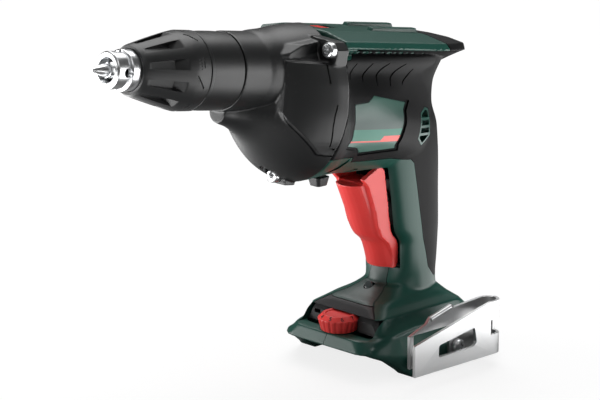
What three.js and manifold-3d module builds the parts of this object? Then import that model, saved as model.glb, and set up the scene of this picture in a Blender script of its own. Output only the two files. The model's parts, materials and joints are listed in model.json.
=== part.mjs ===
// Cordless screwdriver for dry walls, bare tool without its battery pack.
// Millimetres, +Z up, nose towards -X, the side with the belt hook at -Y (the left side).
// The origin lies on the flat docking face under the foot, in the middle plane.
// The upper body is drawn in spindle coordinates: s runs back from the nose rim along the
// spindle, y is the row's own Y, v is square to both. That group is tilted nose up.

import * as THREE from 'three';
import { mergeVertices } from 'three/addons/utils/BufferGeometryUtils.js';
import Module from 'manifold-3d';

const wasm = await Module();
wasm.setup();

// General fits
const gap = 0.3;
const runGap = 0.6;
const overrun = 3;
const wall = 2.4;
const skinDepth = 1.6;
const skinSeat = 0.4;

// Place and tilt of the spindle
const spindleTilt = THREE.MathUtils.degToRad(8.8);
const noseX = -180;
const noseZ = 151;

// Facets of round forms
const fineSides = 32;
const midSides = 24;
const smallSides = 10;
const bossSides = 6;
const bearingSides = 16;

// Screwdriver bit
const bitHexAcross = 6.35;
const bitLength = 25;
const bitReach = 8.2;
const bitNeckRadius = 2.9;
const bitTipLength = 7;
const bitTipRadius = 1;

// Bit holder on the spindle
const holderFront = 5.5;
const holderRadius = 4.7;
const holderLength = 38;
const socketDepth = bitLength - bitReach - holderFront + 1;
const spindleRadius = 4;
const spindleEnd = 108.2;

// Depth stop sleeve
const sleeveRimRadius = 8.25;
const sleeveBoreRadius = 5.7;
const sleeveCollarStart = 7.2;
const sleeveCollarRadius = 9.2;
const sleeveLength = 46;
const crossHoleRadius = 2.1;
const crossHolePlace = 5.6;

// Depth adjusting ring
const ringFront = 12.4;
const ringFrontRadius = 10.7;
const ringLipRadius = 11.6;
const ringLipLength = 1.6;
const ringShoulder = 38;
const ringRadius = 17.9;
const ringEnd = 45.4;
const ringBoreGap = 0.5;
const ringRearBoreStart = 38.4;
const fluteCount = 10;
const fluteStart = 15;
const fluteEnd = 32;
const fluteFrontWidth = 3;
const fluteRearWidth = 4.6;
const fluteDepth = 2.6;
const fluteRamp = 2.2;

// Nose carrier, which pulls off the neck with the ring and the sleeve
const carrierStart = ringEnd + gap;
const carrierEnd = 65.8;
const carrierRadius = 17.5;
const carrierLipLength = 1.8;
const carrierTubeRadius = 14.4;
const carrierTubeStart = ringRearBoreStart + runGap;
const spigotRadius = 13.4;
const spigotStart = 51;

// Gear housing
const neckStart = 66.1;
const neckRadius = 17.96;
const neckEnd = 81.3;
const housingEnd = 115.4;
const coneEndRadius = 22;
const motorDrop = 18.4;
const drumRadius = 32.3;
const motorBossStart = 67.4;
const cheekStart = 86;
const cheekTop = 7.4;
const cheekBottom = -33;
const lugHalfWidth = 31;
const lugTop = 18.4;
const lowLugHalfWidth = 6;
const lowLugBottom = -51.8;
const lowLugFront = 109;

// Gear housing screws
const gearScrewHeadRadius = 3.6;
const gearScrewHeadHeight = 3.2;
const gearScrewRadius = 2;
const gearScrewLength = 9;
const gearScrewSide = 27;
const gearScrewHeight = 13.6;
const rightLugDrop = 2.4;
const gearScrewStart = 104.8;
const lowScrewDrop = 47.8;
const lowScrewStart = 105.5;
const torxRadius = 1.6;
const torxDepth = 1.6;

// Gears: a nine tooth pinion drives the spindle gear
const gearModule = 0.8;
const pinionTeeth = 9;
const wheelTeeth = 37;
const gearBacklashShare = 0.62;
const gearAddendum = 0.5;
const gearDedendum = 0.8;
const gearStart = 90;
const gearWidth = 7;
const gearBoreRadius = spindleRadius + gap;

// Bearings
const frontBearingStart = 55;
const frontBearingWidth = 6;
const frontBearingRadius = 9.5;
const shieldStart = 106.5;
const shieldThickness = 5;
const rearBearingRadius = 8;
const motorBearingRadius = 6;
const motorBearingWidth = 5;
const shaftRadius = 2.5;

// Clutch spring on the spindle
const collarStart = frontBearingStart + frontBearingWidth + gap * 2;
const collarLength = 2.6;
const collarRadius = 8.4;
const springStart = collarStart + collarLength + gap;
const springLength = gearStart - gap - springStart;
const springRadius = 7.2;
const springWire = 1.4;
const springCurls = 5;
const springStepsPerCurl = 8;
const springSides = 5;

// Motor
const statorStart = 116.5;
const statorLength = 28;
const statorRadius = 22;
const statorBoreRadius = 13.2;
const slotCount = 6;
const slotWidth = 5;
const slotDepth = 7;
const rotorRadius = 12.4;
const coilLength = 3.4;
const coilRadius = 20.6;
const coilWireGap = 0.35;
const fanStart = 150.4;
const fanWidth = 5;
const fanRadius = 20;
const bladeCount = 9;
const bladeThickness = 1.2;
const motorRearBearingStart = 157.6;
const shaftStart = 88.5;
const shaftEnd = 164;

// Shell: top deck
const bodyStart = 115.7;
const bodyEnd = 211;
const deckHeight = 20.6;
const deckHalfWidth = 27.6;
const deckEdgeHeight = 17.7;
const bandHalfWidth = 29.8;
const bandHeight = 14.6;
const railSpan = 8;
const railWidth = 3.4;
const railHeight = 1.6;
const railStart = 150.9;
const railEnd = 182.4;
const railSlope = 2.6;

// Shell: core round the motor
const coreHalfWidth = 34.6;
const coreDepth = 50.9;
const coreEnd = 198;

// Shell: handle
const gripHalfWidth = 16.8;
const gripRear = 17.5;
const gripFront = -20;
const gripTop = 134;

// Shell: foot
const footHalfWidth = 28;
const footFront = -50.3;
const footRear = 31;
const wingHalfWidth = 38;
const wingBottom = -13;
const wingRootFront = -46.5;
const wingShoulderZ = 6;
const bayHalfWidth = 32;
const bayNeckHalfWidth = 28.4;
const bayRailZ = -8;
const bayRear = 27;
const bayGrooveFront = -26;
const deckPlate = 3;

// Battery terminal block
const terminalFront = -20;
const terminalRear = 15.5;
const terminalHalfWidth = 19;
const terminalHeight = 9;
const bladeSpacing = 12;
const contactLength = 14;
const contactThickness = 1;
const contactDrop = 6;

// Electronics in the foot
const boardFront = -24;
const boardRear = 12;
const boardHalfWidth = 12;
const boardZ = terminalHeight + gap;
const boardThickness = 2.6;

// Trigger and switch
const triggerHalfWidth = 8.4;
const triggerPlateHalfWidth = 11;
const triggerTravel = 5;
const switchHalfWidth = 8.5;
const switchFront = -9.5;
const switchRear = 8;
const switchTop = 73;
const switchBottom = 51.5;
const plungerRadius = 2.6;
const plungerZ = 64;

// Speed dial
const dialX = -39.2;
const dialZ = 4.7;
const dialRadius = 10.2;
const dialBaseRadius = 8.8;
const dialHeight = 6.2;
const dialTopRadius = 7.9;
const dialCrown = 2.1;
const dialKnurls = 20;
const dialShaftRadius = 2.2;

// Front insert with the lamp
const lensRadius = 2.6;
const lensThickness = 2;

// Direction switch
const leverX = -53;
const leverZ = 84.6;
const leverPivotRadius = 2.4;

// Top slide switch
const slideStart = 121.5;
const slideLength = 7;
const slideHalfWidth = 4;
const slideHeight = 3;
const slideTravel = 5;

// Belt hook
const hookSheet = 1.6;
const hookInnerY = -38.4;
const hookOuterY = -50.8;
const hookFront = -40;
const hookBottom = -7.4;

// Shell screws
const shellScrewHeadRadius = 3.4;
const shellScrewHeadHeight = 2.6;
const shellScrewRadius = 1.7;
const shellScrewLength = 18;
const bossRadius = 4.2;

// Small shares and steps of single pieces
const mergeReach = 0.00001;
const tipBlade = 1.3;
const tipFluteEnd = -2.6;
const bitNeckEnd = 0.5;
const holderChamfer = 0.6;
const sleeveChamfer = 0.7;
const sleeveGroove = 0.9;
const carrierStep = 0.35;
const carrierCrown = 0.25;
const carrierCrownShare = 0.5;
const eggSides = 32;
const screwChamfer = 0.5;
const gearRootShare = 1.35;
const gearTipShare = 0.62;
const pinShaftRadius = 1.6;
const pinShaftEnd = 99;
const fanHubRadius = 5.5;

// Stations of the deck: way back, width, height of the top, of the edge and of the underside
const deckStationShares = [
  [0, 1, 1, 1, 0.6],
  [0.3, 0.985, 0.995, 0.995, 0.6],
  [0.72, 0.955, 0.965, 0.98, 0.6],
  [0.865, 0.81, 0.92, 0.98, 0.36],
  [0.935, 0.64, 0.87, 0.95, 0.3],
  [0.975, 0.43, 0.82, 0.9, 0.38],
  [1, 0.2, 0.76, 0.82, 0.5],
];
const deckCrown = 0.3;
const deckFlatShare = 0.5;
const rearSlope = 1.6;

// Stations of the core: half widths of each ring from top to keel, shares of the half width
const coreStationShares = [0, 0.07, 0.15, 0.3, 0.48, 0.66, 0.81, 0.93, 1];
const coreWidthShares = [
  [0.58, 0.87, 0.87, 0.955, 1, 0.965, 0.9, 0.78, 0.51],
  [0.5, 0.71, 0.71, 0.82, 0.88, 0.875, 0.84, 0.73, 0.49],
  [0.43, 0.56, 0.56, 0.69, 0.76, 0.765, 0.745, 0.65, 0.43],
  [0.4, 0.52, 0.52, 0.68, 0.75, 0.755, 0.73, 0.58, 0.35],
  [0.4, 0.5, 0.49, 0.62, 0.71, 0.715, 0.69, 0.53, 0.32],
  [0.4, 0.48, 0.45, 0.52, 0.62, 0.64, 0.62, 0.5, 0.29],
  [0.38, 0.44, 0.4, 0.45, 0.53, 0.56, 0.55, 0.47, 0.28],
  [0.33, 0.37, 0.33, 0.35, 0.4, 0.43, 0.43, 0.4, 0.25],
  [0.2, 0.22, 0.2, 0.2, 0.22, 0.24, 0.24, 0.22, 0.15],
];
const coreHeightShares = [0.21, 0.15, 0.03, -0.155, -0.34, -0.43, -0.57, -0.72, -0.875];
const coreTopShare = 0.24;
const coreKeelShares = [-1, -0.995, -0.965, -0.93, -0.95, -0.95, -0.94, -0.9, -0.8];
const coreSteps = 8;
const handleRearPower = 0.75;
const wingInner = 24;
const wingStationShares = [
  [0, 0.1, 0.3, 0.06, 0.12], [0.09, 0.58, 0.4, 0.16, 0.34], [0.2, 0.85, 0.75, 0.22, 0.8],
  [0.24, 1, 0.85, 0.2, 1], [0.4, 1, 1.05, 0.1, 1], [0.96, 1, 1, 0.1, 1], [1, 0.7, 0.6, 0.2, 0.9],
];

// Front, rear and half width of the handle, station by station: height, front, rear, width, and
// how square the front corners are.
const handleStationShares = [
  [1, 1.5, 1.75, 0.78, 1],
  [0.948, 1.5, 1.24, 0.81, 1],
  [0.88, 1.5, 0.86, 0.83, 1],
  [0.82, 1.5, 0.8, 0.86, 1],
  [0.731, 1.4, 0.971, 0.97, 1],
  [0.62, 1.04, 1.005, 1.01, 1.6],
  [0.5, 0.89, 1.02, 1, 1.8],
  [0.38, 0.77, 1.04, 1, 1.8],
  [0.32, 0.56, 1.03, 0.98, 1.8],
  [0.245, 0.58, 1, 0.96, 1.5],
  [0.19, 0.73, 0.97, 0.95, 1],
  [0.15, 0.86, 0.98, 0.96, 0.9],
  [0.1, 1.1, 1, 1, 0.9],
];
const handleMidShare = 0.1;
const handleRingSteps = 4;

// Plan of the foot by height: height, front, rear, half width and cut of the corners
const footStationShares = [
  [0, 1, 1, 1, 0.13],
  [0.238, 0.9364, 0.987, 0.9821, 0.3],
  [0.267, 0.8449, 0.968, 0.9443, 0.23],
  [0.446, 0.8052, 0.823, 0.88, 0.2],
  [0.592, 0.7356, 0.694, 0.8393, 0.165],
  [0.713, 0.6759, 0.606, 0.6964, 0.28],
  [0.804, 0.6163, 0.581, 0.6214, 0.45],
  [0.858, 0.5229, 0.574, 0.5643, 0.58],
  [0.917, 0.4493, 0.568, 0.5214, 0.68],
  [1, 0.3837, 0.561, 0.4786, 0.8],
];
const footTopZ = 23;
const footFloorZ = -1;

// Outlines of the coloured skins. The grip is seen from the side in row coordinates, as shares of
// the nose's place; label, vent and cap run along the core and over its depth.
const gripShares = [
  [-0.445, 0.956], [-0.286, 0.9265], [-0.232, 0.9483], [0.032, 0.897], [0.3, 0.845], [0.3, 0.4],
  [0.14, 0.163], [0.052, 0.163], [0.024, 0.2], [0.012, 0.255], [-0.001, 0.305], [-0.025, 0.47],
  [-0.038, 0.55], [-0.048, 0.563], [-0.08, 0.568], [-0.122, 0.581], [-0.194, 0.59],
  [-0.279, 0.603], [-0.285, 0.622], [-0.48, 0.658],
];
const labelShares = [
  [0.1677, 0.5383], [0.1725, 0.2259], [0.2831, 0.2063], [0.3378, 0.1493], [0.6476, 0.222],
  [0.6112, 0.2849], [0.6112, 0.4028], [0.5747, 0.609], [0.593, 0.6483], [0.2831, 0.6798],
  [0.2406, 0.6287], [0.1434, 0.609],
];
const ventShares = [
  [0.836, 0.275],
  [0.8603, 0.2947],
  [0.8846, 0.5422],
  [0.8165, 0.6267],
  [0.7752, 0.558],
  [0.7874, 0.3242],
];
const capShares = [
  [0.7266, -0.5894], [0.8202, -0.3654], [0.8542, -0.2574], [1.0243, -0.2495], [1.2187, -0.2259],
  [1.2673, -0.5894],
];
const ventSlotShares = [0.27, 0.5, 0.73];
const ventSlotWidth = 2.4;
const ventFrame = 1.3;
const hoodShares = [
  [0.27, 1.56], [0.29, 1.2], [0.5, 0.98], [1, 0.655], [1, 0.3], [-1, 0.3], [-1, 0.655],
  [-0.5, 0.98], [-0.29, 1.2], [-0.27, 1.56],
];
const hoodHalfWidth = 20.5;
const hoodHeight = 20.4;
const hoodDepth = 4;

// Outlines of the gear housing
const drumShares = [
  [0, 0.1548],
  [0.0542, 0.1827],
  [0.1167, 0.2074],
  [0.1792, 0.2446],
  [0.2625, 0.3096],
  [0.3458, 0.4025],
  [0.4292, 0.5108],
  [0.5125, 0.6192],
  [0.5958, 0.7214],
  [0.6792, 0.8142],
  [0.7625, 0.8916],
  [0.8458, 0.9474],
  [0.9292, 0.9814],
  [1, 1],
];
const cheekSideShares = [
  [0, 0], [1, 0], [1, 1], [0.6401, 0.9629], [0.0865, 0.6535], [0, 0.604],
];
const cheekFaceShares = [
  [0.8678, 0], [1, 0.6163], [0.9052, 0.8515], [0.842, 1],
];
const lugShares = [
  [0.3871, 1], [0.8871, 0.95], [0.9968, 0.76], [0.9742, 0.3978], [0.3871, 0.3978],
];
const shoulderShares = [
  [0.3226, 0.7527], [0.5484, 0.5376], [0.5484, 0.4839], [0.5419, 0.4301], [0.3226, 0.4301],
];
const cheekFullHalfWidth = 34.8;
const cheekFrontInset = 8.8;
const cheekInnerShare = 0.35;
const lugFace = 108;
const shoulderStart = 81;
const pocketInner = 18.5;
const pocketBottom = 7.9;
const pocketTop = 16.7;
const pocketStart = 82;
const eggStationShares = [0.43, 0.5958, 0.7625, 0.8458, 1];
const channelRadius = 4.2;
const channelStart = 86;
const columnRadius = 5.2;
const chamberRadius = 26.5;
const gearChamberRadius = 16.6;
const gearChamberStart = 87;
const pinionPocketRadius = 8;
const boreRadius = 9.8;
const noseOpening = 5.5;
const grooveStart = 57.9;
const grooveWidth = 1.8;
const grooveDepth = 1.2;
const sealThickness = 1;
const sealWidth = 1.3;

// Bore of the carrier over the sleeve and over the spigot
const carrierBore = 9.5;
const spigotBore = spigotRadius + gap;

// Recess for the dial and its liner
const recessHalfWidth = 23.5;
const recessRear = -28;
const recessTop = 13;
const linerFront = -37;
const linerWindowY = 15;
const linerWindowSize = 4;

// Trigger outline from the side in row coordinates, shares of the foot's front and of the body
// height, front edge first
const triggerStationShares = [
  [0.2093, 0.3419, 0.18],
  [0.2947, 0.4354, 0.2724],
  [0.3252, 0.5348, 0.332],
  [0.4106, 0.6481, 0.332],
  [0.4967, 0.7634, 0.332],
];
const triggerPlateShares = [
  [0.2079, 0.2565, 0.2087, 0.8182],
  [0.2291, 0.2565, 0.1769, 0.8182],
  [0.2901, 0.3241, 0.2028, 0.9091],
  [0.3245, 0.4314, 0.2863, 0.9364],
  [0.4391, 0.5507, 0.3618, 1],
  [0.5007, 0.6223, 0.3897, 1],
];
const triggerEarShares = [
  [0.6859, 0.5185],
  [0.6143, 0.4954],
  [0.3897, 0.4954],
  [0.4036, 0.5331],
  [0.4473, 0.5497],
  [0.4771, 0.5497],
];
const triggerNoseShares = [[0, 0], [0, 0.5], [0.38, 0.86], [0.88, 1]];
const slotBottom = 31.2;
const slotTop = 83.6;
const slotBack = -3.5;

// Direction lever under the belly
const leverShares = [
  [-1, -0.7], [-0.7, -1], [0.7, -1], [1, -0.7], [1, 0.7], [0.7, 1], [-0.7, 1], [-1, 0.7],
];
const leverReach = 4.2;
const leverTaperShare = 0.75;

// Hook outlines
const hookInnerShares = [
  [0.07, 0], [0.07, 0.6], [0.29, 0.75], [0.34, 0.86], [0.62, 1], [0.66, 0.93], [1.2, 1], [1.2, 0],
];
const hookOuterShares = [
  [-0.1, 0], [-0.1, 0.5], [0, 0.58], [0.92, 1], [1.2, 1], [1.2, 0.68], [0.94, 0.66],
  [0.94, 0.38], [1.2, 0.36], [1.2, 0],
];
const hookWindowShares = [
  [0.29, 0.475], [0.738, 0.617], [0.766, 0.314], [0.72, 0.254], [0.29, 0.242],
];

// Places of the shell screws: s or x, v or z, side of the head
const shellScrewShares = [
  [0.66, -0.04, 0.44], [0.71, 0.7, 0.42], [0.131, 0.905, 0.24],
];
const lowShellScrewShares = [[0.08, 0.18, 0.42], [0.7, 0.036, 0.62]];

// Remaining sizes
const ventInner = 8;
const slotHalfWidth = triggerPlateHalfWidth + gap;
const slideFloor = 17;
const slideRibCount = 4;
const slideRibWidth = 0.8;
const leverTop = 81.8;
const leverHeight = 4.4;
const leverPinHeight = 4;
const ribLip = 2;
const ribReach = 29;
const ribInset = 6.5;
const ribThickness = 1.2;
const lowBossRadius = 3.4;
const gearBossLength = 4;
const stemFront = -24;
const stemRear = -8;
const pocketFront = -25.5;
const springPocketRadius = 4.7;
const triggerWire = 0.9;
const triggerCurls = 5;
const lensX = -20.3;
const lensZ = 23.2;
const lensSlope = 0.8;
const knurlDepth = 0.6;
const dialPinBottom = 1.5;
const dialPinTop = 11;
const linerDepth = 2.6;
const hookBendSteps = 8;
const hookBendX = 14.5;
const hookTop = 18.5;
const hookInnerFront = -36;
const hookOpening = [-28, -10];
const hookOpeningRise = [-4, 6];
const hookScrewX = -1;
const hookScrewZ = -2.5;
const hookScrewLength = 5.4;
const chipShares = [[0.15, 0, 1], [0.4, -0.4, 0.8], [0.4, 0.4, 0.8], [0.7, 0, 1.1]];
const chipSize = 3.4;
const chipHeight = 2;

const Y_AXIS = new THREE.Vector3(0, 1, 0);
const Z_AXIS = new THREE.Vector3(0, 0, 1);
const X_AXIS = new THREE.Vector3(1, 0, 0);
const upperPlace = new THREE.Matrix4().makeRotationY(spindleTilt).setPosition(noseX, 0, noseZ);

// Turns a closed geometry's faces outwards, whichever way its outline ran
function outward(geometry) {
  const place = geometry.attributes.position;
  const count = geometry.index ? geometry.index.count : place.count;
  const index = Array.from({ length: count }, (_, i) => (geometry.index ? geometry.index.getX(i) : i));
  const [a, b, c] = [new THREE.Vector3(), new THREE.Vector3(), new THREE.Vector3()];
  let volume = 0;
  for (let i = 0; i < count; i += 3) {
    a.fromBufferAttribute(place, index[i]);
    b.fromBufferAttribute(place, index[i + 1]);
    c.fromBufferAttribute(place, index[i + 2]);
    volume += a.dot(b.cross(c));
  }
  if (volume < 0) {
    for (let i = 0; i < count; i += 3) {
      [index[i], index[i + 1]] = [index[i + 1], index[i]];
    }
  }
  geometry.setIndex(index);
  return geometry;
}

// Solid from a closed geometry, placed by a matrix
function solid(geometry, matrix = new THREE.Matrix4()) {
  const bare = geometry.clone();
  bare.deleteAttribute('normal');
  bare.deleteAttribute('uv');
  bare.applyMatrix4(matrix);
  const merged = mergeVertices(outward(bare), mergeReach);
  const index = merged.index.array;
  const kept = [];
  for (let i = 0; i < index.length; i += 3) {
    const [a, b, c] = [index[i], index[i + 1], index[i + 2]];
    if (a !== b && b !== c && a !== c) kept.push(a, b, c);
  }
  return new wasm.Manifold(new wasm.Mesh({
    numProp: 3,
    vertProperties: new Float32Array(merged.attributes.position.array),
    triVerts: new Uint32Array(kept),
  }));
}

function geometryOf(shape) {
  const mesh = shape.getMesh();
  const geometry = new THREE.BufferGeometry();
  geometry.setAttribute('position', new THREE.BufferAttribute(mesh.vertProperties, 3));
  geometry.setIndex(Array.from(mesh.triVerts));
  return geometry;
}

function asSolid(shape) {
  return shape.isBufferGeometry ? solid(shape) : shape;
}

function join(first, ...others) {
  return others.reduce((sum, other) => sum.add(asSolid(other)), asSolid(first));
}

function cut(first, ...others) {
  return others.reduce((rest, other) => rest.subtract(asSolid(other)), asSolid(first));
}

function common(first, ...others) {
  return others.reduce((shared, other) => shared.intersect(asSolid(other)), asSolid(first));
}

// Round body along s from a profile of [s, radius] points
function spin(profile, sides = midSides) {
  const points = profile.map(([s, radius]) => new THREE.Vector2(radius, s));
  return new THREE.LatheGeometry(points, sides).rotateZ(-Math.PI / 2);
}

function disc(start, end, radius, sides = midSides) {
  return spin([[start, 0], [start, radius], [end, radius], [end, 0]], sides);
}

function hoop(start, end, inner, outer, sides = midSides) {
  return spin([[start, inner], [start, outer], [end, outer], [end, inner], [start, inner]], sides);
}

function flat(points) {
  return new THREE.Shape(points.map(([a, b]) => new THREE.Vector2(a, b)));
}

function drawn(points, depth) {
  return new THREE.ExtrudeGeometry(flat(points), { depth, bevelEnabled: false });
}

// Outline of [x, z] points, drawn out along y
function sidePrism(points, fromY, toY) {
  return drawn(points, toY - fromY).rotateX(Math.PI / 2).translate(0, toY, 0);
}

// Outline of [y, z] points, drawn out along x
function frontPrism(points, from, to) {
  const turn = new THREE.Matrix4().makeBasis(Y_AXIS, Z_AXIS, X_AXIS);
  return drawn(points, to - from).applyMatrix4(turn).translate(from, 0, 0);
}

// Outline of [x, y] points, drawn out along z
function planPrism(points, from, to) {
  return drawn(points, to - from).translate(0, 0, from);
}

function block([x0, x1], [y0, y1], [z0, z1]) {
  const box = new THREE.BoxGeometry(x1 - x0, y1 - y0, z1 - z0);
  return box.translate((x0 + x1) / 2, (y0 + y1) / 2, (z0 + z1) / 2);
}

// Cylinder between two points
function rod(start, end, radius, sides = smallSides) {
  const from = new THREE.Vector3(...start);
  const way = new THREE.Vector3(...end).sub(from);
  const bar = new THREE.CylinderGeometry(radius, radius, way.length(), sides);
  bar.translate(0, way.length() / 2, 0);
  bar.applyQuaternion(new THREE.Quaternion().setFromUnitVectors(Y_AXIS, way.normalize()));
  return bar.translate(from.x, from.y, from.z);
}

// Skin over rings of equally many points, closed by a fan at each end
function loft(rings) {
  const count = rings[0].length;
  const places = rings.flat(2);
  const faces = [];
  for (let r = 0; r + 1 < rings.length; r += 1) {
    for (let i = 0; i < count; i += 1) {
      const a = r * count + i;
      const b = r * count + ((i + 1) % count);
      faces.push(a, b, b + count, a, b + count, a + count);
    }
  }
  [0, rings.length - 1].forEach((r) => {
    const middle = places.length / 3;
    places.push(...[0, 1, 2].map((k) => rings[r].reduce((sum, p) => sum + p[k], 0) / count));
    for (let i = 0; i < count; i += 1) {
      const a = r * count + i;
      const b = r * count + ((i + 1) % count);
      faces.push(...(r === 0 ? [b, a, middle] : [a, b, middle]));
    }
  });
  const geometry = new THREE.BufferGeometry();
  geometry.setAttribute('position', new THREE.Float32BufferAttribute(places, 3));
  geometry.setIndex(faces);
  return geometry;
}

// Full outline from the half at +y, which starts and ends on the middle plane
function bothSides(half) {
  const back = half.slice(1, -1).reverse().map(([y, v]) => [-y, v]);
  return [...half, ...back];
}

// Moves each corner of a flat outline inwards, square to the line through its neighbours
function shrunk(ring, depth) {
  if (depth === 0) return ring;
  const area = ring.reduce((sum, [x, y], i) => {
    const [u, w] = ring[(i + 1) % ring.length];
    return sum + x * w - u * y;
  }, 0);
  return ring.map(([x, y], i) => {
    const last = ring[(i + ring.length - 1) % ring.length];
    const next = ring[(i + 1) % ring.length];
    const way = new THREE.Vector2(next[0] - last[0], next[1] - last[1]).normalize();
    const step = depth * Math.sign(area);
    return [x - way.y * step, y + way.x * step];
  });
}

// Same for an outline with sharp corners: every edge moves inwards by the full depth
function insetOutline(points, depth) {
  const area = points.reduce((sum, [x, y], i) => {
    const [u, w] = points[(i + 1) % points.length];
    return sum + x * w - u * y;
  }, 0);
  const normal = ([x, y], [u, w]) => {
    const way = new THREE.Vector2(u - x, w - y).normalize().multiplyScalar(Math.sign(area));
    return new THREE.Vector2(-way.y, way.x);
  };
  return points.map((point, i) => {
    const last = points[(i + points.length - 1) % points.length];
    const one = normal(last, point);
    const two = normal(point, points[(i + 1) % points.length]);
    const step = one.add(two).multiplyScalar(1 / Math.max(1 + one.clone().sub(two).dot(two), 1 / 2));
    return [point[0] + step.x * depth, point[1] + step.y * depth];
  });
}

// More stations on smooth curves through the matching points of the given ones
function between(rings, steps) {
  const lines = rings[0].map((_, i) => {
    const knots = rings.map((ring) => new THREE.Vector3(...ring[i]));
    return new THREE.CatmullRomCurve3(knots, false, 'centripetal').getPoints(steps);
  });
  return Array.from({ length: steps + 1 }, (_, k) => lines.map((line) => line[k].toArray()));
}

function mix(from, to, share) {
  return from + (to - from) * share;
}

function placed(shares, [a0, a1], [b0, b1]) {
  return shares.map(([a, b]) => [mix(a0, a1, a), mix(b0, b1, b)]);
}

function finish(color, roughness, metalness = 0) {
  return new THREE.MeshStandardMaterial({ color, roughness, metalness });
}

function piece(name, shape, material, parent) {
  const geometry = geometryOf(asSolid(shape));
  geometry.computeVertexNormals();
  const mesh = new THREE.Mesh(geometry, material());
  mesh.name = name;
  parent.add(mesh);
}

const blackPlastic = () => finish(0x25282a, 0.5);
const blackRubber = () => finish(0x1c1e20, 0.75);
const greenPlastic = () => finish(0x1f5a48, 0.5);
const darkGreen = () => finish(0x2c4a42, 0.5);
const redPlastic = () => finish(0xe0463f, 0.4);
const darkPlastic = () => finish(0x17191b, 0.6);
const brightSteel = () => finish(0xd6d9db, 0.25, 1);
const darkSteel = () => finish(0x6e7377, 0.4, 1);
const copper = () => finish(0xb56a35, 0.4, 1);
const brass = () => finish(0xc8a24a, 0.35, 1);
const clearPlastic = () => finish(0xe8f0f4, 0.1);
const magnetSteel = () => finish(0x4a4e52, 0.45, 0.9);

// Six or more sided hole or plug along s
function prismAlong(start, end, radius, sides, turn = 0) {
  const bar = new THREE.CylinderGeometry(radius, radius, end - start, sides);
  bar.rotateY(turn).rotateZ(Math.PI / 2);
  return bar.translate((start + end) / 2, 0, 0);
}

// Square corner blocks that leave the cross of the tip
function tipCorners() {
  const reach = bitNeckRadius + gap;
  return [0, 1, 2, 3].map((k) => {
    const rings = [[-bitReach - gap, tipBlade / 2], [tipFluteEnd, bitNeckRadius]].map(([s, near]) => (
      [[near, near], [reach + near, near], [reach + near, reach + near], [near, reach + near]]
        .map(([y, v]) => [s, y, v])
    ));
    return loft(rings).rotateX((k * Math.PI) / 2);
  });
}

function bit() {
  const neck = spin([
    [-bitReach, 0], [-bitReach, bitTipRadius], [bitTipLength - bitReach, bitNeckRadius],
    [bitNeckEnd, bitNeckRadius], [bitNeckEnd, 0],
  ], smallSides);
  const hexRadius = bitHexAcross / 2 / Math.cos(Math.PI / 6);
  const shank = prismAlong(bitNeckEnd - gap, bitLength - bitReach, hexRadius, 6);
  return cut(join(neck, shank), ...tipCorners());
}

function bitHolder() {
  const front = holderFront;
  const rear = holderFront + holderLength;
  const bar = spin([
    [front, 0], [front, holderRadius - holderChamfer], [front + holderChamfer, holderRadius],
    [rear, holderRadius], [rear, spindleRadius], [collarStart, spindleRadius],
    [collarStart, collarRadius], [collarStart + collarLength, collarRadius],
    [collarStart + collarLength, spindleRadius], [spindleEnd, spindleRadius], [spindleEnd, 0],
  ]);
  const socketRadius = bitHexAcross / 2 / Math.cos(Math.PI / 6) + gap;
  return cut(bar, prismAlong(front - overrun, front + socketDepth, socketRadius, 6));
}

function depthSleeve() {
  const rear = sleeveLength;
  const tube = spin([
    [0, sleeveBoreRadius], [0, sleeveRimRadius - sleeveChamfer], [sleeveChamfer, sleeveRimRadius],
    [sleeveCollarStart - sleeveGroove, sleeveRimRadius],
    [sleeveCollarStart - sleeveGroove, sleeveRimRadius - sleeveChamfer],
    [sleeveCollarStart, sleeveRimRadius - sleeveChamfer],
    [sleeveCollarStart, sleeveCollarRadius - sleeveChamfer],
    [sleeveCollarStart + sleeveChamfer, sleeveCollarRadius],
    [rear, sleeveCollarRadius], [rear, sleeveBoreRadius], [0, sleeveBoreRadius],
  ], fineSides);
  const reach = sleeveCollarRadius + overrun;
  const holes = [[0, reach], [reach, 0]].map(([y, v]) => (
    rod([crossHolePlace, -y, -v], [crossHolePlace, y, v], crossHoleRadius)
  ));
  return cut(tube, ...holes);
}

// Flutes round the adjusting ring, wider to the rear, sunk below its cone
function ringFlutes() {
  const floorAt = (s) => mix(ringLipRadius, ringRadius, (s - ringFront) / (ringShoulder - ringFront));
  return Array.from({ length: fluteCount }, (_, k) => {
    const rings = [
      [fluteStart, fluteFrontWidth, gap], [fluteStart + fluteRamp, fluteFrontWidth, -fluteDepth],
      [fluteEnd - fluteRamp, fluteRearWidth, -fluteDepth], [fluteEnd, fluteRearWidth, gap],
    ].map(([s, width, depth]) => {
      const low = floorAt(s) + depth;
      const high = floorAt(s) + overrun;
      return [[-width / 2, low], [width / 2, low], [width / 2, high], [-width / 2, high]]
        .map(([y, v]) => [s, y, v]);
    });
    return loft(rings).rotateX((k * Math.PI * 2) / fluteCount);
  });
}

function adjustRing() {
  const bore = sleeveCollarRadius + gap;
  const rearBore = carrierTubeRadius + ringBoreGap;
  const shape = spin([
    [ringFront, bore], [ringFront, ringFrontRadius], [ringFront + ringLipLength, ringLipRadius],
    [ringShoulder, ringRadius], [ringEnd, ringRadius], [ringEnd, rearBore],
    [ringRearBoreStart, rearBore], [ringRearBoreStart, bore], [ringFront, bore],
  ], fineSides);
  return cut(shape, ...ringFlutes());
}

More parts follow.
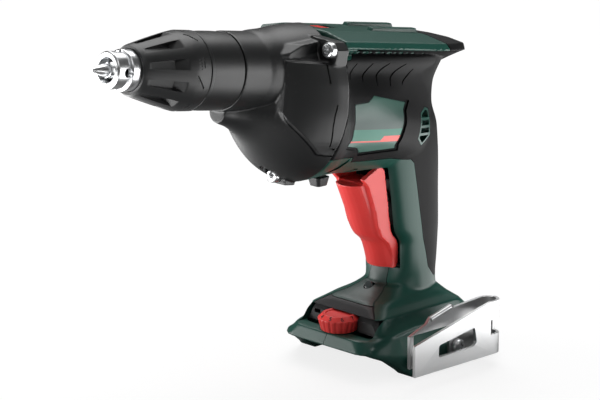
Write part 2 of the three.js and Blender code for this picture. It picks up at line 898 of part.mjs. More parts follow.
function carrier() {
  return spin([
    [carrierTubeStart, carrierBore], [carrierTubeStart, carrierTubeRadius],
    [carrierStart, carrierTubeRadius], [carrierStart, carrierRadius + carrierStep],
    [carrierStart + carrierLipLength, carrierRadius + carrierStep],
    [carrierStart + carrierLipLength, carrierRadius],
    [mix(carrierStart, carrierEnd, carrierCrownShare), carrierRadius + carrierCrown],
    [carrierEnd, carrierRadius], [carrierEnd, spigotBore], [spigotStart - gap, spigotBore],
    [spigotStart - gap, carrierBore], [carrierTubeStart, carrierBore],
  ], fineSides);
}

function sealRing() {
  const inner = spigotRadius - grooveDepth + gap;
  const middle = inner + sealThickness / 2;
  const start = grooveStart + (grooveWidth - sealWidth) / 2;
  return hoop(start, start + sealWidth, inner, middle + sealThickness / 2);
}

// Outline round the spindle cone and the drum together
function eggRing(s, coneRadius, drumAt) {
  const spread = Math.asin(THREE.MathUtils.clamp((drumAt - coneRadius) / motorDrop, -1, 1));
  return Array.from({ length: eggSides }, (_, i) => {
    const angle = (i / eggSides) * Math.PI * 2;
    const [y, v] = [Math.sin(angle), Math.cos(angle)];
    const high = v > Math.sin(spread);
    return high ? [s, y * coneRadius, v * coneRadius] : [s, y * drumAt, v * drumAt - motorDrop];
  });
}

function coneAt(s) {
  return mix(neckRadius, coneEndRadius, Math.max(0, (s - neckEnd) / (housingEnd - neckEnd)));
}

function drumAt(share) {
  const next = drumShares.findIndex(([place]) => place >= share);
  if (next <= 0) return drumRadius * drumShares[0][1];
  const [a, b] = [drumShares[next - 1], drumShares[next]];
  return drumRadius * mix(a[1], b[1], (share - a[0]) / (b[0] - a[0]));
}

function cheek(side) {
  const face = (s, inset) => {
    const outer = cheekFaceShares.map(([y, v]) => (
      [cheekFullHalfWidth * y - inset, mix(cheekTop, cheekBottom, v)]
    ));
    const inner = cheekFullHalfWidth * cheekInnerShare;
    return [[inner, cheekTop], ...outer, [inner, cheekBottom]].map(([y, v]) => [s, side * y, v]);
  };
  const outline = placed(cheekSideShares, [cheekStart, housingEnd], [cheekTop, cheekBottom]);
  const reach = cheekFullHalfWidth + overrun;
  return common(
    loft([face(cheekStart - overrun, cheekFrontInset + gap), face(housingEnd, 0)]),
    sidePrism(outline, -reach, reach),
  );
}

function lug(side) {
  const rim = lugShares.map(([y, v]) => [side * y * lugHalfWidth, v * lugTop]);
  const start = shoulderShares.map(([y, v]) => [shoulderStart, side * y * lugHalfWidth, v * lugTop]);
  const ramp = loft([start, rim.map(([y, v]) => [housingEnd - gap, y, v])]);
  const pocketReach = lugHalfWidth + overrun;
  const pocket = block(
    [pocketStart, lugFace],
    side > 0 ? [pocketInner, pocketReach] : [-pocketReach, -pocketInner],
    [pocketBottom, pocketTop],
  );
  const open = block(
    [pocketStart, lugFace],
    side > 0 ? [gearScrewSide, pocketReach] : [-pocketReach, -gearScrewSide],
    [pocketBottom, lugTop + overrun],
  );
  const shape = cut(join(ramp, frontPrism(rim, lugFace, housingEnd)), pocket, open);
  return shape.translate(0, 0, side > 0 ? -rightLugDrop : 0);
}

function housingOutside() {
  const stem = spin([
    [spigotStart, 0], [spigotStart, spigotRadius], [grooveStart, spigotRadius],
    [grooveStart, spigotRadius - grooveDepth], [grooveStart + grooveWidth, spigotRadius - grooveDepth],
    [grooveStart + grooveWidth, spigotRadius], [neckStart, spigotRadius], [neckStart, neckRadius],
    [neckEnd, neckRadius], [housingEnd, coneEndRadius], [housingEnd, 0],
  ], fineSides);
  const drumProfile = placed(drumShares, [motorBossStart, housingEnd], [0, drumRadius]);
  const drum = spin([[motorBossStart, 0], ...drumProfile, [housingEnd, 0]], fineSides);
  const eggs = eggStationShares.map((share) => {
    const s = mix(motorBossStart, housingEnd, share);
    return eggRing(s, coneAt(s), drumAt(share));
  });
  const lowLug = block([lowLugFront, housingEnd], [-lowLugHalfWidth, lowLugHalfWidth],
    [lowLugBottom, -lowScrewDrop + lowLugHalfWidth]);
  return join(stem, drum.translate(0, 0, -motorDrop), loft(eggs), cheek(1), cheek(-1),
    lug(1), lug(-1), lowLug);
}

// Places of the housing screws: y, v and where the head starts
const gearScrewPlaces = [
  ['left', -gearScrewSide, gearScrewHeight, gearScrewStart],
  ['right', gearScrewSide, gearScrewHeight - rightLugDrop, gearScrewStart],
  ['lower', 0, -lowScrewDrop, lowScrewStart],
];

function housingInside() {
  const low = -motorDrop;
  const chamber = cut(
    disc(shieldStart, housingEnd + overrun, chamberRadius, fineSides).translate(0, 0, low),
    disc(shieldStart - overrun, housingEnd + overrun, columnRadius).translate(0, 0, -lowScrewDrop),
  );
  const holes = gearScrewPlaces.map(([, y, v, start]) => (
    disc(start, housingEnd + overrun, gearScrewRadius + gap, smallSides).translate(0, y, v)
  ));
  return join(
    disc(spigotStart - overrun, housingEnd, noseOpening),
    disc(frontBearingStart, gearChamberStart + gap, boreRadius),
    disc(gearChamberStart, housingEnd + overrun, gearChamberRadius),
    disc(gearChamberStart, shieldStart + gap, pinionPocketRadius).translate(0, 0, low),
    chamber,
    disc(channelStart, lowScrewStart + gearScrewHeadHeight, channelRadius, smallSides)
      .translate(0, 0, -lowScrewDrop),
    ...holes,
  );
}

function torxScrew(start, headRadius, headHeight, shankRadius, length) {
  const shape = spin([
    [start, 0], [start, headRadius - screwChamfer], [start + screwChamfer, headRadius],
    [start + headHeight, headRadius], [start + headHeight, shankRadius],
    [start + headHeight + length, shankRadius], [start + headHeight + length, 0],
  ], smallSides);
  return cut(shape, prismAlong(start - overrun, start + torxDepth, torxRadius, 6));
}

// Outline of a gear with straight sided short teeth
function gearOutline(teeth, firstAngle) {
  const pitch = (gearModule * teeth) / 2;
  const step = (Math.PI * 2) / teeth;
  const half = (step / 4) * gearBacklashShare;
  const [root, tip] = [pitch - gearDedendum, pitch + gearAddendum];
  const corners = [
    [-gearRootShare, root], [-gearTipShare, tip], [gearTipShare, tip], [gearRootShare, root],
  ];
  return Array.from({ length: teeth }, (_, k) => corners.map(([share, radius]) => {
    const angle = firstAngle + k * step + share * half;
    return [Math.sin(angle) * radius, Math.cos(angle) * radius];
  })).flat();
}

// The wheel shows a gap to the pinion below it, the pinion a tooth to the wheel above it
function drivenGear() {
  const step = (Math.PI * 2) / wheelTeeth;
  const blank = frontPrism(gearOutline(wheelTeeth, Math.PI + step / 2), gearStart, gearStart + gearWidth);
  return cut(blank, disc(gearStart - overrun, gearStart + gearWidth + overrun, gearBoreRadius));
}

function pinion() {
  const blank = frontPrism(gearOutline(pinionTeeth, 0), gearStart - gap, gearStart + gearWidth + gap);
  const bore = disc(gearStart - overrun, gearStart + gearWidth + overrun, pinShaftRadius + gap, smallSides);
  return cut(blank, bore).translate([0, 0, -motorDrop]);
}

function bearing(start, width, radius, bore) {
  return hoop(start, start + width, bore, radius, bearingSides);
}

function bearingShield() {
  const rear = shieldStart + gap + shieldThickness;
  const plate = join(
    disc(shieldStart + gap, rear, gearChamberRadius - gap, fineSides),
    disc(shieldStart + gap, rear, chamberRadius - gap, fineSides).translate(0, 0, -motorDrop),
  );
  return cut(
    plate,
    disc(shieldStart, rear + overrun, rearBearingRadius + gap),
    disc(shieldStart, rear + overrun, motorBearingRadius + gap).translate(0, 0, -motorDrop),
    disc(shieldStart, rear + overrun, columnRadius + gap).translate(0, 0, -lowScrewDrop),
  );
}

// Spring wire wound round s or, turned by the caller, round any other way
function spring(start, length, radius, wire, curls) {
  const steps = curls * springStepsPerCurl;
  const rings = Array.from({ length: steps + 1 }, (_, k) => {
    const turn = (k / springStepsPerCurl) * Math.PI * 2;
    const s = start + wire / 2 + ((length - wire) * k) / steps;
    return Array.from({ length: springSides }, (__, i) => {
      const round = (i / springSides) * Math.PI * 2;
      const out = radius + (Math.cos(round) * wire) / 2;
      return [s + (Math.sin(round) * wire) / 2, Math.sin(turn) * out, Math.cos(turn) * out];
    });
  });
  return loft(rings);
}

function shaft() {
  return spin([
    [shaftStart, 0], [shaftStart, pinShaftRadius], [pinShaftEnd, pinShaftRadius],
    [pinShaftEnd, shaftRadius], [shaftEnd, shaftRadius], [shaftEnd, 0],
  ], smallSides);
}

function rotor() {
  const start = statorStart + gap;
  return hoop(start, statorStart + statorLength - gap, shaftRadius + gap, rotorRadius);
}

function slotBars(width, inner, outer, start, end) {
  return Array.from({ length: slotCount }, (_, k) => (
    block([start, end], [-width / 2, width / 2], [inner, outer]).rotateX((k * Math.PI * 2) / slotCount)
  ));
}

function stator() {
  const end = statorStart + statorLength;
  const core = hoop(statorStart, end, statorBoreRadius, statorRadius, fineSides);
  const inner = statorBoreRadius - overrun;
  return cut(core, ...slotBars(slotWidth, inner, statorBoreRadius + slotDepth, statorStart - overrun,
    end + overrun));
}

function winding() {
  const end = statorStart + statorLength;
  const inner = statorBoreRadius + gap;
  const outer = statorBoreRadius + slotDepth - coilWireGap;
  const front = hoop(statorStart - coilLength, statorStart - gap, inner, coilRadius);
  const rear = hoop(end + gap, end + coilLength, inner, coilRadius);
  return join(front, rear, ...slotBars(slotWidth - 2 * coilWireGap, inner + gap, outer,
    statorStart - coilLength + gap, end + coilLength - gap));
}

function fan() {
  const hub = disc(fanStart, fanStart + fanWidth, fanHubRadius);
  const plate = disc(fanStart, fanStart + bladeThickness, fanRadius);
  const blades = Array.from({ length: bladeCount }, (_, k) => (
    block([fanStart, fanStart + fanWidth], [-bladeThickness / 2, bladeThickness / 2],
      [fanHubRadius - gap, fanRadius - gap]).rotateX((k * Math.PI * 2) / bladeCount)
  ));
  return cut(join(hub, plate, ...blades),
    disc(fanStart - overrun, fanStart + fanWidth + overrun, shaftRadius + gap, smallSides));
}

// Top deck of the shell in spindle coordinates
function deckSolid(inset) {
  const rings = deckStationShares.map(([back, across, top, side, under], k) => {
    const front = k === 0 && inset ? overrun : 0;
    const s = mix(bodyStart - front, bodyEnd - inset * rearSlope, back);
    const half = [
      [0, deckHeight * top + deckCrown], [deckHalfWidth * deckFlatShare * across, deckHeight * top],
      [deckHalfWidth * across, deckEdgeHeight * side], [bandHalfWidth * across, bandHeight * side],
      [0, bandHeight * under],
    ];
    return insetOutline(bothSides(half), inset).map(([y, v]) => [s, y, v]);
  });
  return solid(loft(rings), upperPlace);
}

// Shell round the motor
function coreSolid(inset) {
  const rings = coreStationShares.map((share, k) => {
    const front = k === 0 && inset ? overrun : 0;
    const s = mix(bodyStart - front, coreEnd - inset, share);
    const side = coreWidthShares[k].map((width, j) => (
      [coreHalfWidth * width, coreDepth * coreHeightShares[j]]
    ));
    const half = [[0, coreDepth * coreTopShare], ...side, [0, coreDepth * coreKeelShares[k]]];
    return shrunk(bothSides(half), inset).map(([y, v]) => [s, y, v]);
  });
  return solid(loft(between(rings, coreSteps)), upperPlace);
}

function handleRing(front, rear, width, square) {
  const middle = (front + rear) * handleMidShare;
  const steps = handleRingSteps;
  const bend = (value, power) => Math.sign(value) * Math.abs(value) ** power;
  const half = Array.from({ length: 2 * steps + 1 }, (_, i) => {
    const angle = (i / (2 * steps)) * Math.PI;
    const [c, d] = [Math.cos(angle), Math.sin(angle)];
    const power = i <= steps ? 1 / square : handleRearPower;
    const reach = i <= steps ? middle - front : rear - middle;
    return [middle - bend(c, power) * reach, width * bend(d, power)];
  });
  const back = half.slice(1, -1).reverse().map(([x, y]) => [x, -y]);
  return [...half, ...back];
}

function handleSolid(inset) {
  const rings = handleStationShares.map(([height, front, rear, width, square]) => {
    const ring = handleRing(gripFront * front, gripRear * rear, gripHalfWidth * width, square);
    return shrunk(ring, inset).map(([x, y]) => [x, y, gripTop * height]);
  });
  return solid(loft(rings));
}

function footRing(front, rear, halfWidth, corner, inset, z) {
  const half = [
    [front, 0], [front, halfWidth - corner], [front + corner, halfWidth],
    [rear - corner, halfWidth], [rear, halfWidth - corner], [rear, 0],
  ];
  const back = half.slice(1, -1).reverse().map(([x, y]) => [x, -y]);
  return shrunk([...half, ...back], inset).map(([x, y]) => [x, y, z]);
}

function footSolid(inset) {
  const floor = inset ? deckPlate : footFloorZ;
  const rings = footStationShares.map(([height, front, rear, width, corner]) => {
    const z = Math.min(Math.max(mix(footFloorZ, footTopZ, height), floor), footTopZ - inset);
    const across = footHalfWidth * width;
    return footRing(footFront * front, footRear * rear, across, across * corner, inset, z);
  });
  return solid(loft(rings));
}

// Side walls of the battery bay, section by section from the front
function wings() {
  return [1, -1].map((side) => loft(wingStationShares.map(([back, across, shoulder, top, low]) => {
    const x = mix(wingRootFront, footRear, back);
    const outer = mix(footHalfWidth, wingHalfWidth, across);
    return [
      [wingInner, low * wingBottom], [outer, low * wingBottom], [outer, top * wingBottom],
      [footHalfWidth, shoulder * wingShoulderZ], [wingInner, shoulder * wingShoulderZ],
    ].map(([y, z]) => [x, side * y, z]);
  })));
}

function outerBody(inset) {
  return join(deckSolid(inset), coreSolid(inset), handleSolid(inset), footSolid(inset));
}

const coreRun = [bodyStart, coreEnd];
const coreFall = [0, -coreDepth];
const wide = bandHalfWidth * 2;

function upperSolid(geometry) {
  return solid(geometry, upperPlace);
}

// Side prism of a coloured skin on one side of the tool, in spindle coordinates
function skinPrism(shares, side, inset) {
  const outline = insetOutline(placed(shares, coreRun, coreFall), inset);
  const [from, to] = side > 0 ? [gap, wide] : [-wide, -gap];
  return upperSolid(sidePrism(outline, from, to));
}

function gripPrism(side, inset) {
  const outline = insetOutline(placed(gripShares, [0, -noseX], [0, noseZ]), inset);
  const [from, to] = [side > 0 ? gap / 2 : -wide, side < 0 ? -gap / 2 : wide];
  return solid(sidePrism(outline, from, to));
}

function capPrism(inset) {
  const outline = insetOutline(placed(capShares, coreRun, coreFall), inset);
  return upperSolid(sidePrism(outline, -wide, wide));
}

function hoodPrism(inset) {
  const outline = insetOutline(placed(hoodShares, [0, hoodHalfWidth], [0, hoodHeight]), inset);
  return frontPrism(outline, footFront, 0);
}

function ventSlots(side) {
  const outline = insetOutline(placed(ventShares, coreRun, coreFall), ventFrame);
  const heights = outline.map(([, v]) => v);
  const [low, high] = [Math.min(...heights), Math.max(...heights)];
  const [from, to] = side > 0 ? [ventInner, wide] : [-wide, -ventInner];
  const window = upperSolid(sidePrism(outline, from, to));
  const bars = ventSlotShares.map((share) => (
    upperSolid(block([bodyStart, bodyEnd], [-wide, wide],
      [mix(low, high, share) - ventSlotWidth / 2, mix(low, high, share) + ventSlotWidth / 2]))
  ));
  return common(window, join(...bars));
}

// Room for the trigger and its travel
function triggerSlot() {
  return block([footFront, slotBack], [-slotHalfWidth, slotHalfWidth], [slotBottom, slotTop]);
}

function dialRecess() {
  return block([footFront - overrun, recessRear], [-recessHalfWidth, recessHalfWidth],
    [dialZ, recessTop]);
}

function batteryBay() {
  return join(
    block([bayGrooveFront, bayRear], [-bayHalfWidth, bayHalfWidth], [bayRailZ, 0]),
    block([wingRootFront, bayRear], [-bayNeckHalfWidth, bayNeckHalfWidth],
      [wingBottom - overrun, 0]),
  );
}

function terminalWindow() {
  return block([terminalFront - gap, terminalRear + gap],
    [-terminalHalfWidth - gap, terminalHalfWidth + gap], [-overrun, terminalHeight + 2 * gap]);
}

function sliderPocket() {
  return upperSolid(block([slideStart - gap, slideStart + slideLength + slideTravel + gap],
    [-slideHalfWidth - gap, slideHalfWidth + gap], [slideFloor - gap, deckHeight + overrun]));
}

function leverRoom() {
  return rod([leverX, 0, leverTop - overrun], [leverX, 0, leverZ + leverPinHeight + gap],
    leverPivotRadius + gap);
}

// Ribs that carry the motor
function motorRibs() {
  const low = -motorDrop;
  const room = disc(bodyStart - overrun, fanStart, statorRadius + gap).translate(0, 0, low);
  const [start, end] = [motorRearBearingStart, motorRearBearingStart + motorBearingWidth];
  const seat = disc(start - gap, end + gap, motorBearingRadius + gap).translate(0, 0, low);
  const way = disc(start - overrun, end + overrun, shaftRadius + runGap).translate(0, 0, low);
  const plates = [
    [statorStart + ribInset, ribThickness], [statorStart + statorLength - ribInset, ribThickness],
    [(start + end) / 2, motorBearingWidth / 2 + ribLip],
  ].map(([s, half]) => block([s - half, s + half], [-wide, wide], [-coreDepth, low + ribReach]));
  return upperSolid(geometryOf(cut(join(...plates), room, seat, way)));
}

function switchRibs() {
  return [switchBottom + ribThickness, switchTop - ribThickness].map((z) => (
    cut(
      block([switchFront, switchRear], [-wide, wide], [z - ribThickness, z + ribThickness]),
      block([switchFront - overrun, switchRear + overrun],
        [-switchHalfWidth - gap, switchHalfWidth + gap], [switchBottom, switchTop]),
    )
  ));
}

// Shell screws sit on the right side, their bosses reach into the left half
const screwPlaces = [
  ...shellScrewShares.map(([back, down, side]) => {
    const place = new THREE.Vector3(mix(bodyStart, coreEnd, back), 0, -coreDepth * down);
    const [x, , z] = place.applyMatrix4(upperPlace).toArray();
    return [x, side * bandHalfWidth, z];
  }),
  ...lowShellScrewShares.map(([x, z, side]) => [x * footRear, side * bandHalfWidth, z * noseZ]),
];

function screwHole([x, y, z]) {
  return join(
    rod([x, y, z], [x, wide, z], shellScrewHeadRadius + gap),
    rod([x, y - shellScrewLength - runGap, z], [x, y + gap, z], shellScrewRadius + gap),
  );
}

function screwBoss([x, , z]) {
  return rod([x, -wide, z], [x, wide, z], bossRadius, bossSides);
}

function gearBosses() {
  return gearScrewPlaces.map(([, y, v]) => {
    const radius = y === 0 ? lowBossRadius : bossRadius;
    const boss = disc(bodyStart + gap, bodyStart + gearBossLength, radius, bossSides);
    return common(upperSolid(boss.translate(0, y, v)), outerBody(wall - gap));
  });
}

function gearScrewHoles() {
  return gearScrewPlaces.map(([, y, v, start]) => {
    const end = start + gearScrewHeadHeight + gearScrewLength + runGap;
    return upperSolid(disc(bodyStart - overrun, end, gearScrewRadius + gap, smallSides)
      .translate(0, y, v));
  });
}

function rails() {
  const outline = [
    [railStart - railSlope, deckEdgeHeight], [railStart, deckHeight + railHeight],
    [railEnd - railSlope, deckHeight + railHeight], [railEnd, deckEdgeHeight],
  ];
  return [1, -1].map((side) => upperSolid(sidePrism(outline,
    side * railSpan - railWidth / 2, side * railSpan + railWidth / 2)));
}

const whole = outerBody(0);
const hollow = outerBody(wall);
const underSkin = outerBody(skinDepth);
const skin = cut(whole, outerBody(skinDepth - skinSeat));
const deepSkin = cut(whole, outerBody(hoodDepth - skinSeat));

function shell() {
  const bosses = screwPlaces.map(screwBoss);
  const inner = outerBody(wall - gap);
  const ribs = common(join(motorRibs(), ...switchRibs(), ...bosses), inner);
  const body = join(cut(whole, hollow), ribs, ...rails(), ...wings());
  const recess = cut(join(gripPrism(0, 0), capPrism(-gap)), underSkin);
  const hood = cut(hoodPrism(0), outerBody(hoodDepth));
  return cut(body, recess, hood, triggerSlot(), dialRecess(), batteryBay(),
    terminalWindow(), sliderPocket(), leverRoom(), ventSlots(1), ventSlots(-1), hookHole(),
    rod([dialX, 0, dialPinBottom - gap], [dialX, 0, dialZ + overrun], dialShaftRadius + gap),
    ...screwPlaces.map(screwHole));
}

function halfOf(shape, side) {
  const [from, to] = side > 0 ? [gap / 2, wide] : [-wide, -gap / 2];
  return common(shape, block([noseX, bodyEnd], [from, to], [wingBottom - overrun, noseZ + overrun]));
}

const upper = new THREE.Group();
upper.name = 'upper';
upper.position.set(noseX, 0, noseZ);
upper.rotation.y = spindleTilt;
const body = new THREE.Group();
body.name = 'cordless_screwdriver';
body.add(upper);

function addNose() {
  piece('screwdriver_bit', bit(), darkSteel, upper);
  piece('bit_holder_spindle', bitHolder(), darkSteel, upper);
  piece('depth_stop_sleeve', depthSleeve(), brightSteel, upper);
  piece('depth_adjust_ring', adjustRing(), blackPlastic, upper);
  piece('nose_carrier', carrier(), blackPlastic, upper);
  piece('spigot_seal_ring', sealRing(), blackRubber, upper);
}

function addGears() {
  piece('gear_housing', cut(housingOutside(), housingInside()), blackPlastic, upper);
  piece('spindle_front_bearing', bearing(frontBearingStart + gap, frontBearingWidth,
    frontBearingRadius, gearBoreRadius), brightSteel, upper);
  piece('spindle_rear_bearing', bearing(shieldStart + gap, shieldThickness - gap, rearBearingRadius,
    gearBoreRadius), brightSteel, upper);
  piece('bearing_shield', bearingShield(), darkPlastic, upper);
  piece('driven_gear', drivenGear(), darkSteel, upper);
  piece('clutch_spring', spring(springStart, springLength, springRadius, springWire, springCurls),
    brightSteel, upper);
  gearScrewPlaces.forEach(([name, y, v, start]) => {
    const screw = torxScrew(start, gearScrewHeadRadius, gearScrewHeadHeight, gearScrewRadius,
      gearScrewLength);
    piece(`gear_screw_${name}`, screw.translate([0, y, v]), brightSteel, upper);
  });
}

function addMotor() {
  const motor = new THREE.Group();
  motor.name = 'motor';
  motor.position.z = -motorDrop;
  upper.add(motor);
  piece('motor_pinion', pinion().translate([0, 0, motorDrop]), darkSteel, motor);
  piece('motor_shaft', shaft(), brightSteel, motor);
  piece('rotor', rotor(), magnetSteel, motor);
  piece('stator', stator(), darkSteel, motor);
  piece('stator_winding', winding(), copper, motor);
  piece('cooling_fan', fan(), blackPlastic, motor);
  piece('motor_front_bearing', bearing(shieldStart + gap, motorBearingWidth, motorBearingRadius,
    shaftRadius + gap), brightSteel, motor);
  piece('motor_rear_bearing', bearing(motorRearBearingStart, motorBearingWidth, motorBearingRadius,
    shaftRadius + gap), brightSteel, motor);
}

function addShell() {
  const shape = shell();
  const lowBoss = gearBosses()[2];
  const left = join(halfOf(join(shape, gearBosses()[0]), -1), lowBoss);
  const roomForBoss = upperSolid(disc(bodyStart - overrun, bodyStart + gearBossLength + gap,
    lowBossRadius + gap, bossSides).translate(0, 0, -lowScrewDrop));
  const right = cut(halfOf(join(shape, gearBosses()[1]), 1), roomForBoss);
  piece('housing_left', cut(left, ...gearScrewHoles()), greenPlastic, body);
  piece('housing_right', cut(right, ...gearScrewHoles()), greenPlastic, body);
  [['left', -1], ['right', 1]].forEach(([name, side]) => {
    const holes = screwPlaces.map(screwHole);
    const label = skinPrism(labelShares, side, 0);
    const vent = skinPrism(ventShares, side, 0);
    const grip = cut(common(skin, gripPrism(side, gap)), capPrism(0), label, vent, ...holes);
    piece(`grip_${name}`, grip, blackRubber, body);
    piece(`label_${name}`, common(skin, skinPrism(labelShares, side, gap)), greenPlastic, body);
    const frame = cut(common(skin, skinPrism(ventShares, side, gap)), ventSlots(side));
    piece(`vent_frame_${name}`, frame, greenPlastic, body);
  });
  piece('rear_cap', common(skin, capPrism(gap)), blackRubber, body);
  screwPlaces.forEach(([x, y, z], k) => {
    const screw = torxScrew(0, shellScrewHeadRadius, shellScrewHeadHeight, shellScrewRadius,
      shellScrewLength - shellScrewHeadHeight);
    const turned = screw.transform(matrixTo([x, y + shellScrewHeadHeight + gap, z]));
    piece(`shell_screw_${k + 1}`, turned, brightSteel, body);
  });
}

// Turns a screw drawn along s so that it points towards -Y from a place
function matrixTo([x, y, z]) {
  const turn = new THREE.Matrix4().makeRotationZ(-Math.PI / 2);
  return new THREE.Matrix4().setPosition(x, y, z).multiply(turn).toArray();
}

function trigger() {
  const blade = triggerStationShares.map(([height, front, back]) => {
    const nose = triggerNoseShares.map(([x, y]) => (
      [front * footFront + x * triggerHalfWidth, y * triggerHalfWidth]
    ));
    const half = [...nose, [back * footFront, triggerHalfWidth], [back * footFront, 0]];
    const other = half.slice(1, -1).reverse().map(([x, y]) => [x, -y]);
    return [...half, ...other].map(([x, y]) => [x, y, height * noseZ]);
  });
  const plate = triggerPlateShares.map(([height, front, back, across]) => {
    const [x1, x2, y] = [front * footFront, back * footFront, across * triggerPlateHalfWidth];
    return [[x1, -y], [x2, -y], [x2, y], [x1, y]].map(([x, side]) => [x, side, height * noseZ]);
  });
  const ear = placed(triggerEarShares, [0, footFront], [0, noseZ]);
  const shape = join(
    loft(blade),
    loft(plate),
    sidePrism(ear, triggerHalfWidth - gap, triggerPlateHalfWidth),
    sidePrism(ear, -triggerPlateHalfWidth, gap - triggerHalfWidth),
    rod([stemFront, 0, plungerZ], [stemRear, 0, plungerZ], plungerRadius),
  );
  const pocket = cut(
    rod([pocketFront, 0, plungerZ], [switchFront, 0, plungerZ], springPocketRadius),
    rod([pocketFront - overrun, 0, plungerZ], [stemRear, 0, plungerZ], plungerRadius),
  );
  return cut(shape, pocket);
}

function triggerSpring() {
  const length = switchFront - gap - (pocketFront + gap);
  return spring(pocketFront + gap, length, plungerRadius + triggerWire + gap, triggerWire,
    triggerCurls).translate(0, 0, plungerZ);
}

function switchBody() {
  const box = block([switchFront, switchRear], [-switchHalfWidth, switchHalfWidth],
    [switchBottom, switchTop]);
  return cut(box, rod([switchFront - overrun, 0, plungerZ], [stemRear + triggerTravel + gap, 0, plungerZ],
    plungerRadius + gap));
}

function lightHood() {
  const shape = common(deepSkin, solid(hoodPrism(gap)));
  const lens = rod([lensX - overrun, 0, lensZ + overrun * lensSlope],
    [lensX + overrun, 0, lensZ - overrun * lensSlope], lensRadius + gap);
  const limit = block([footFront, slotBack + overrun], [-wide, wide], [recessTop + gap, slotBottom - gap]);
  return cut(common(shape, limit), lens);
}

function lens() {
  return rod([lensX - lensThickness / 2, 0, lensZ + (lensThickness / 2) * lensSlope],
    [lensX + lensThickness, 0, lensZ - lensThickness * lensSlope], lensRadius);
}

function dialRing(radius, z) {
  const count = dialKnurls * 2;
  return Array.from({ length: count * 2 }, (_, i) => {
    const deep = Math.floor(i / 2) % 2;
    const angle = ((i + 1 / 2) / (count * 2)) * Math.PI * 2;
    const out = radius - deep * knurlDepth;
    return [dialX + Math.cos(angle) * out, Math.sin(angle) * out, z];
  });
}

function dial() {
  const low = dialZ + gap;
  const shape = loft([
    dialRing(dialBaseRadius, low), dialRing(dialRadius, low + dialHeight - gap),
    dialRing(dialTopRadius, low + dialHeight + dialCrown - gap),
  ]);
  return cut(shape, rod([dialX, 0, 0], [dialX, 0, dialPinTop + gap], dialShaftRadius + gap));
}

function dialLiner() {
  const box = block([linerFront, recessRear - gap], [-recessHalfWidth + gap, recessHalfWidth - gap],
    [dialZ + gap, recessTop - gap]);
  const window = block([linerFront - overrun, linerFront + linerWindowSize],
    [linerWindowY, linerWindowY + linerWindowSize],
    [dialZ + linerWindowSize, dialZ + linerWindowSize + linerWindowSize / 2]);
  return cut(common(box, solid(footSkin())), window,
    rod([dialX, 0, 0], [dialX, 0, recessTop + overrun], dialRadius + runGap));
}

function footSkin() {
  return geometryOf(footSolid(linerDepth)).translate(0, 0, 0);
}

function beltHook() {
  const [inner, outer] = [hookInnerY, hookOuterY];
  const radius = (inner - outer) / 2;
  const turn = Array.from({ length: hookBendSteps + 1 }, (_, k) => {
    const angle = (k / hookBendSteps) * Math.PI;
    return [Math.sin(angle), Math.cos(angle)];
  });
  const ring = (size) => turn.map(([a, b]) => [hookBendX + a * size, (inner + outer) / 2 + b * size]);
  const outline = [
    [hookFront, inner], ...ring(radius), [hookFront, outer], [hookFront, outer + hookSheet],
    ...ring(radius - hookSheet).reverse(), [hookFront, inner - hookSheet],
  ];
  const strip = planPrism(outline, hookBottom, hookTop);
  const rise = [hookBottom, hookTop];
  const innerCut = placed(hookInnerShares, [hookInnerFront, hookBendX], rise);
  const outerCut = placed(hookOuterShares, [hookFront, hookBendX], rise);
  const window = placed(hookWindowShares, [hookFront, hookBendX], rise);
  const middle = (inner + outer) / 2;
  const cutter = join(
    sidePrism(innerCut, middle, inner + overrun), sidePrism(outerCut, outer - overrun, middle + gap),
  );
  const opening = block(hookOpening, [middle, inner + overrun], hookOpeningRise);
  return cut(common(strip, cutter), sidePrism(window, outer - overrun, middle), opening,
    rod([hookScrewX, middle, hookScrewZ], [hookScrewX, inner + overrun, hookScrewZ],
      shellScrewRadius + gap));
}

function hookScrew() {
  const screw = torxScrew(0, shellScrewHeadRadius, shellScrewHeadHeight, shellScrewRadius,
    hookScrewLength);
  const turn = new THREE.Matrix4().makeRotationZ(Math.PI / 2);
  const start = hookInnerY - hookSheet - gap - shellScrewHeadHeight;
  return screw.transform(new THREE.Matrix4().setPosition(hookScrewX, start, hookScrewZ).multiply(turn)
    .toArray());
}

function hookHole() {
  return rod([hookScrewX, -wide, hookScrewZ],
    [hookScrewX, hookInnerY - hookSheet + hookScrewLength + gap, hookScrewZ], shellScrewRadius + gap);
}

function slider() {
  const [start, end] = [slideStart, slideStart + slideLength];
  const base = block([start, end], [-slideHalfWidth, slideHalfWidth],
    [slideFloor, slideFloor + slideHeight]);
  const ribs = Array.from({ length: slideRibCount }, (_, k) => {
    const s = mix(start, end, (k + 1 / 2) / slideRibCount);
    return block([s - slideRibWidth / 2, s + slideRibWidth / 2],
      [-slideHalfWidth + gap, slideHalfWidth - gap],
      [slideFloor + slideHeight - gap, slideFloor + slideHeight + slideRibWidth]);
  });
  return join(base, ...ribs);
}

function directionLever() {
  const rings = [[leverTop, 1], [leverTop - leverHeight, leverTaperShare]].map(([z, share]) => (
    leverShares.map(([x, y]) => [leverX + x * leverReach * share, y * leverReach * share, z])
  ));
  return join(loft(rings),
    rod([leverX, 0, leverTop - gap], [leverX, 0, leverZ + leverPinHeight], leverPivotRadius));
}

function terminal() {
  const shape = block([terminalFront, terminalRear], [-terminalHalfWidth, terminalHalfWidth],
    [0, terminalHeight]);
  const slots = [1, -1].map((side) => block(
    [-contactLength / 2 - gap, contactLength / 2 + gap],
    [side * bladeSpacing - contactThickness / 2 - gap, side * bladeSpacing + contactThickness / 2 + gap],
    [-overrun, contactDrop + gap],
  ));
  return cut(shape, ...slots);
}

function contact(side) {
  return block([-contactLength / 2, contactLength / 2],
    [side * bladeSpacing - contactThickness / 2, side * bladeSpacing + contactThickness / 2],
    [-contactDrop, contactDrop]);
}

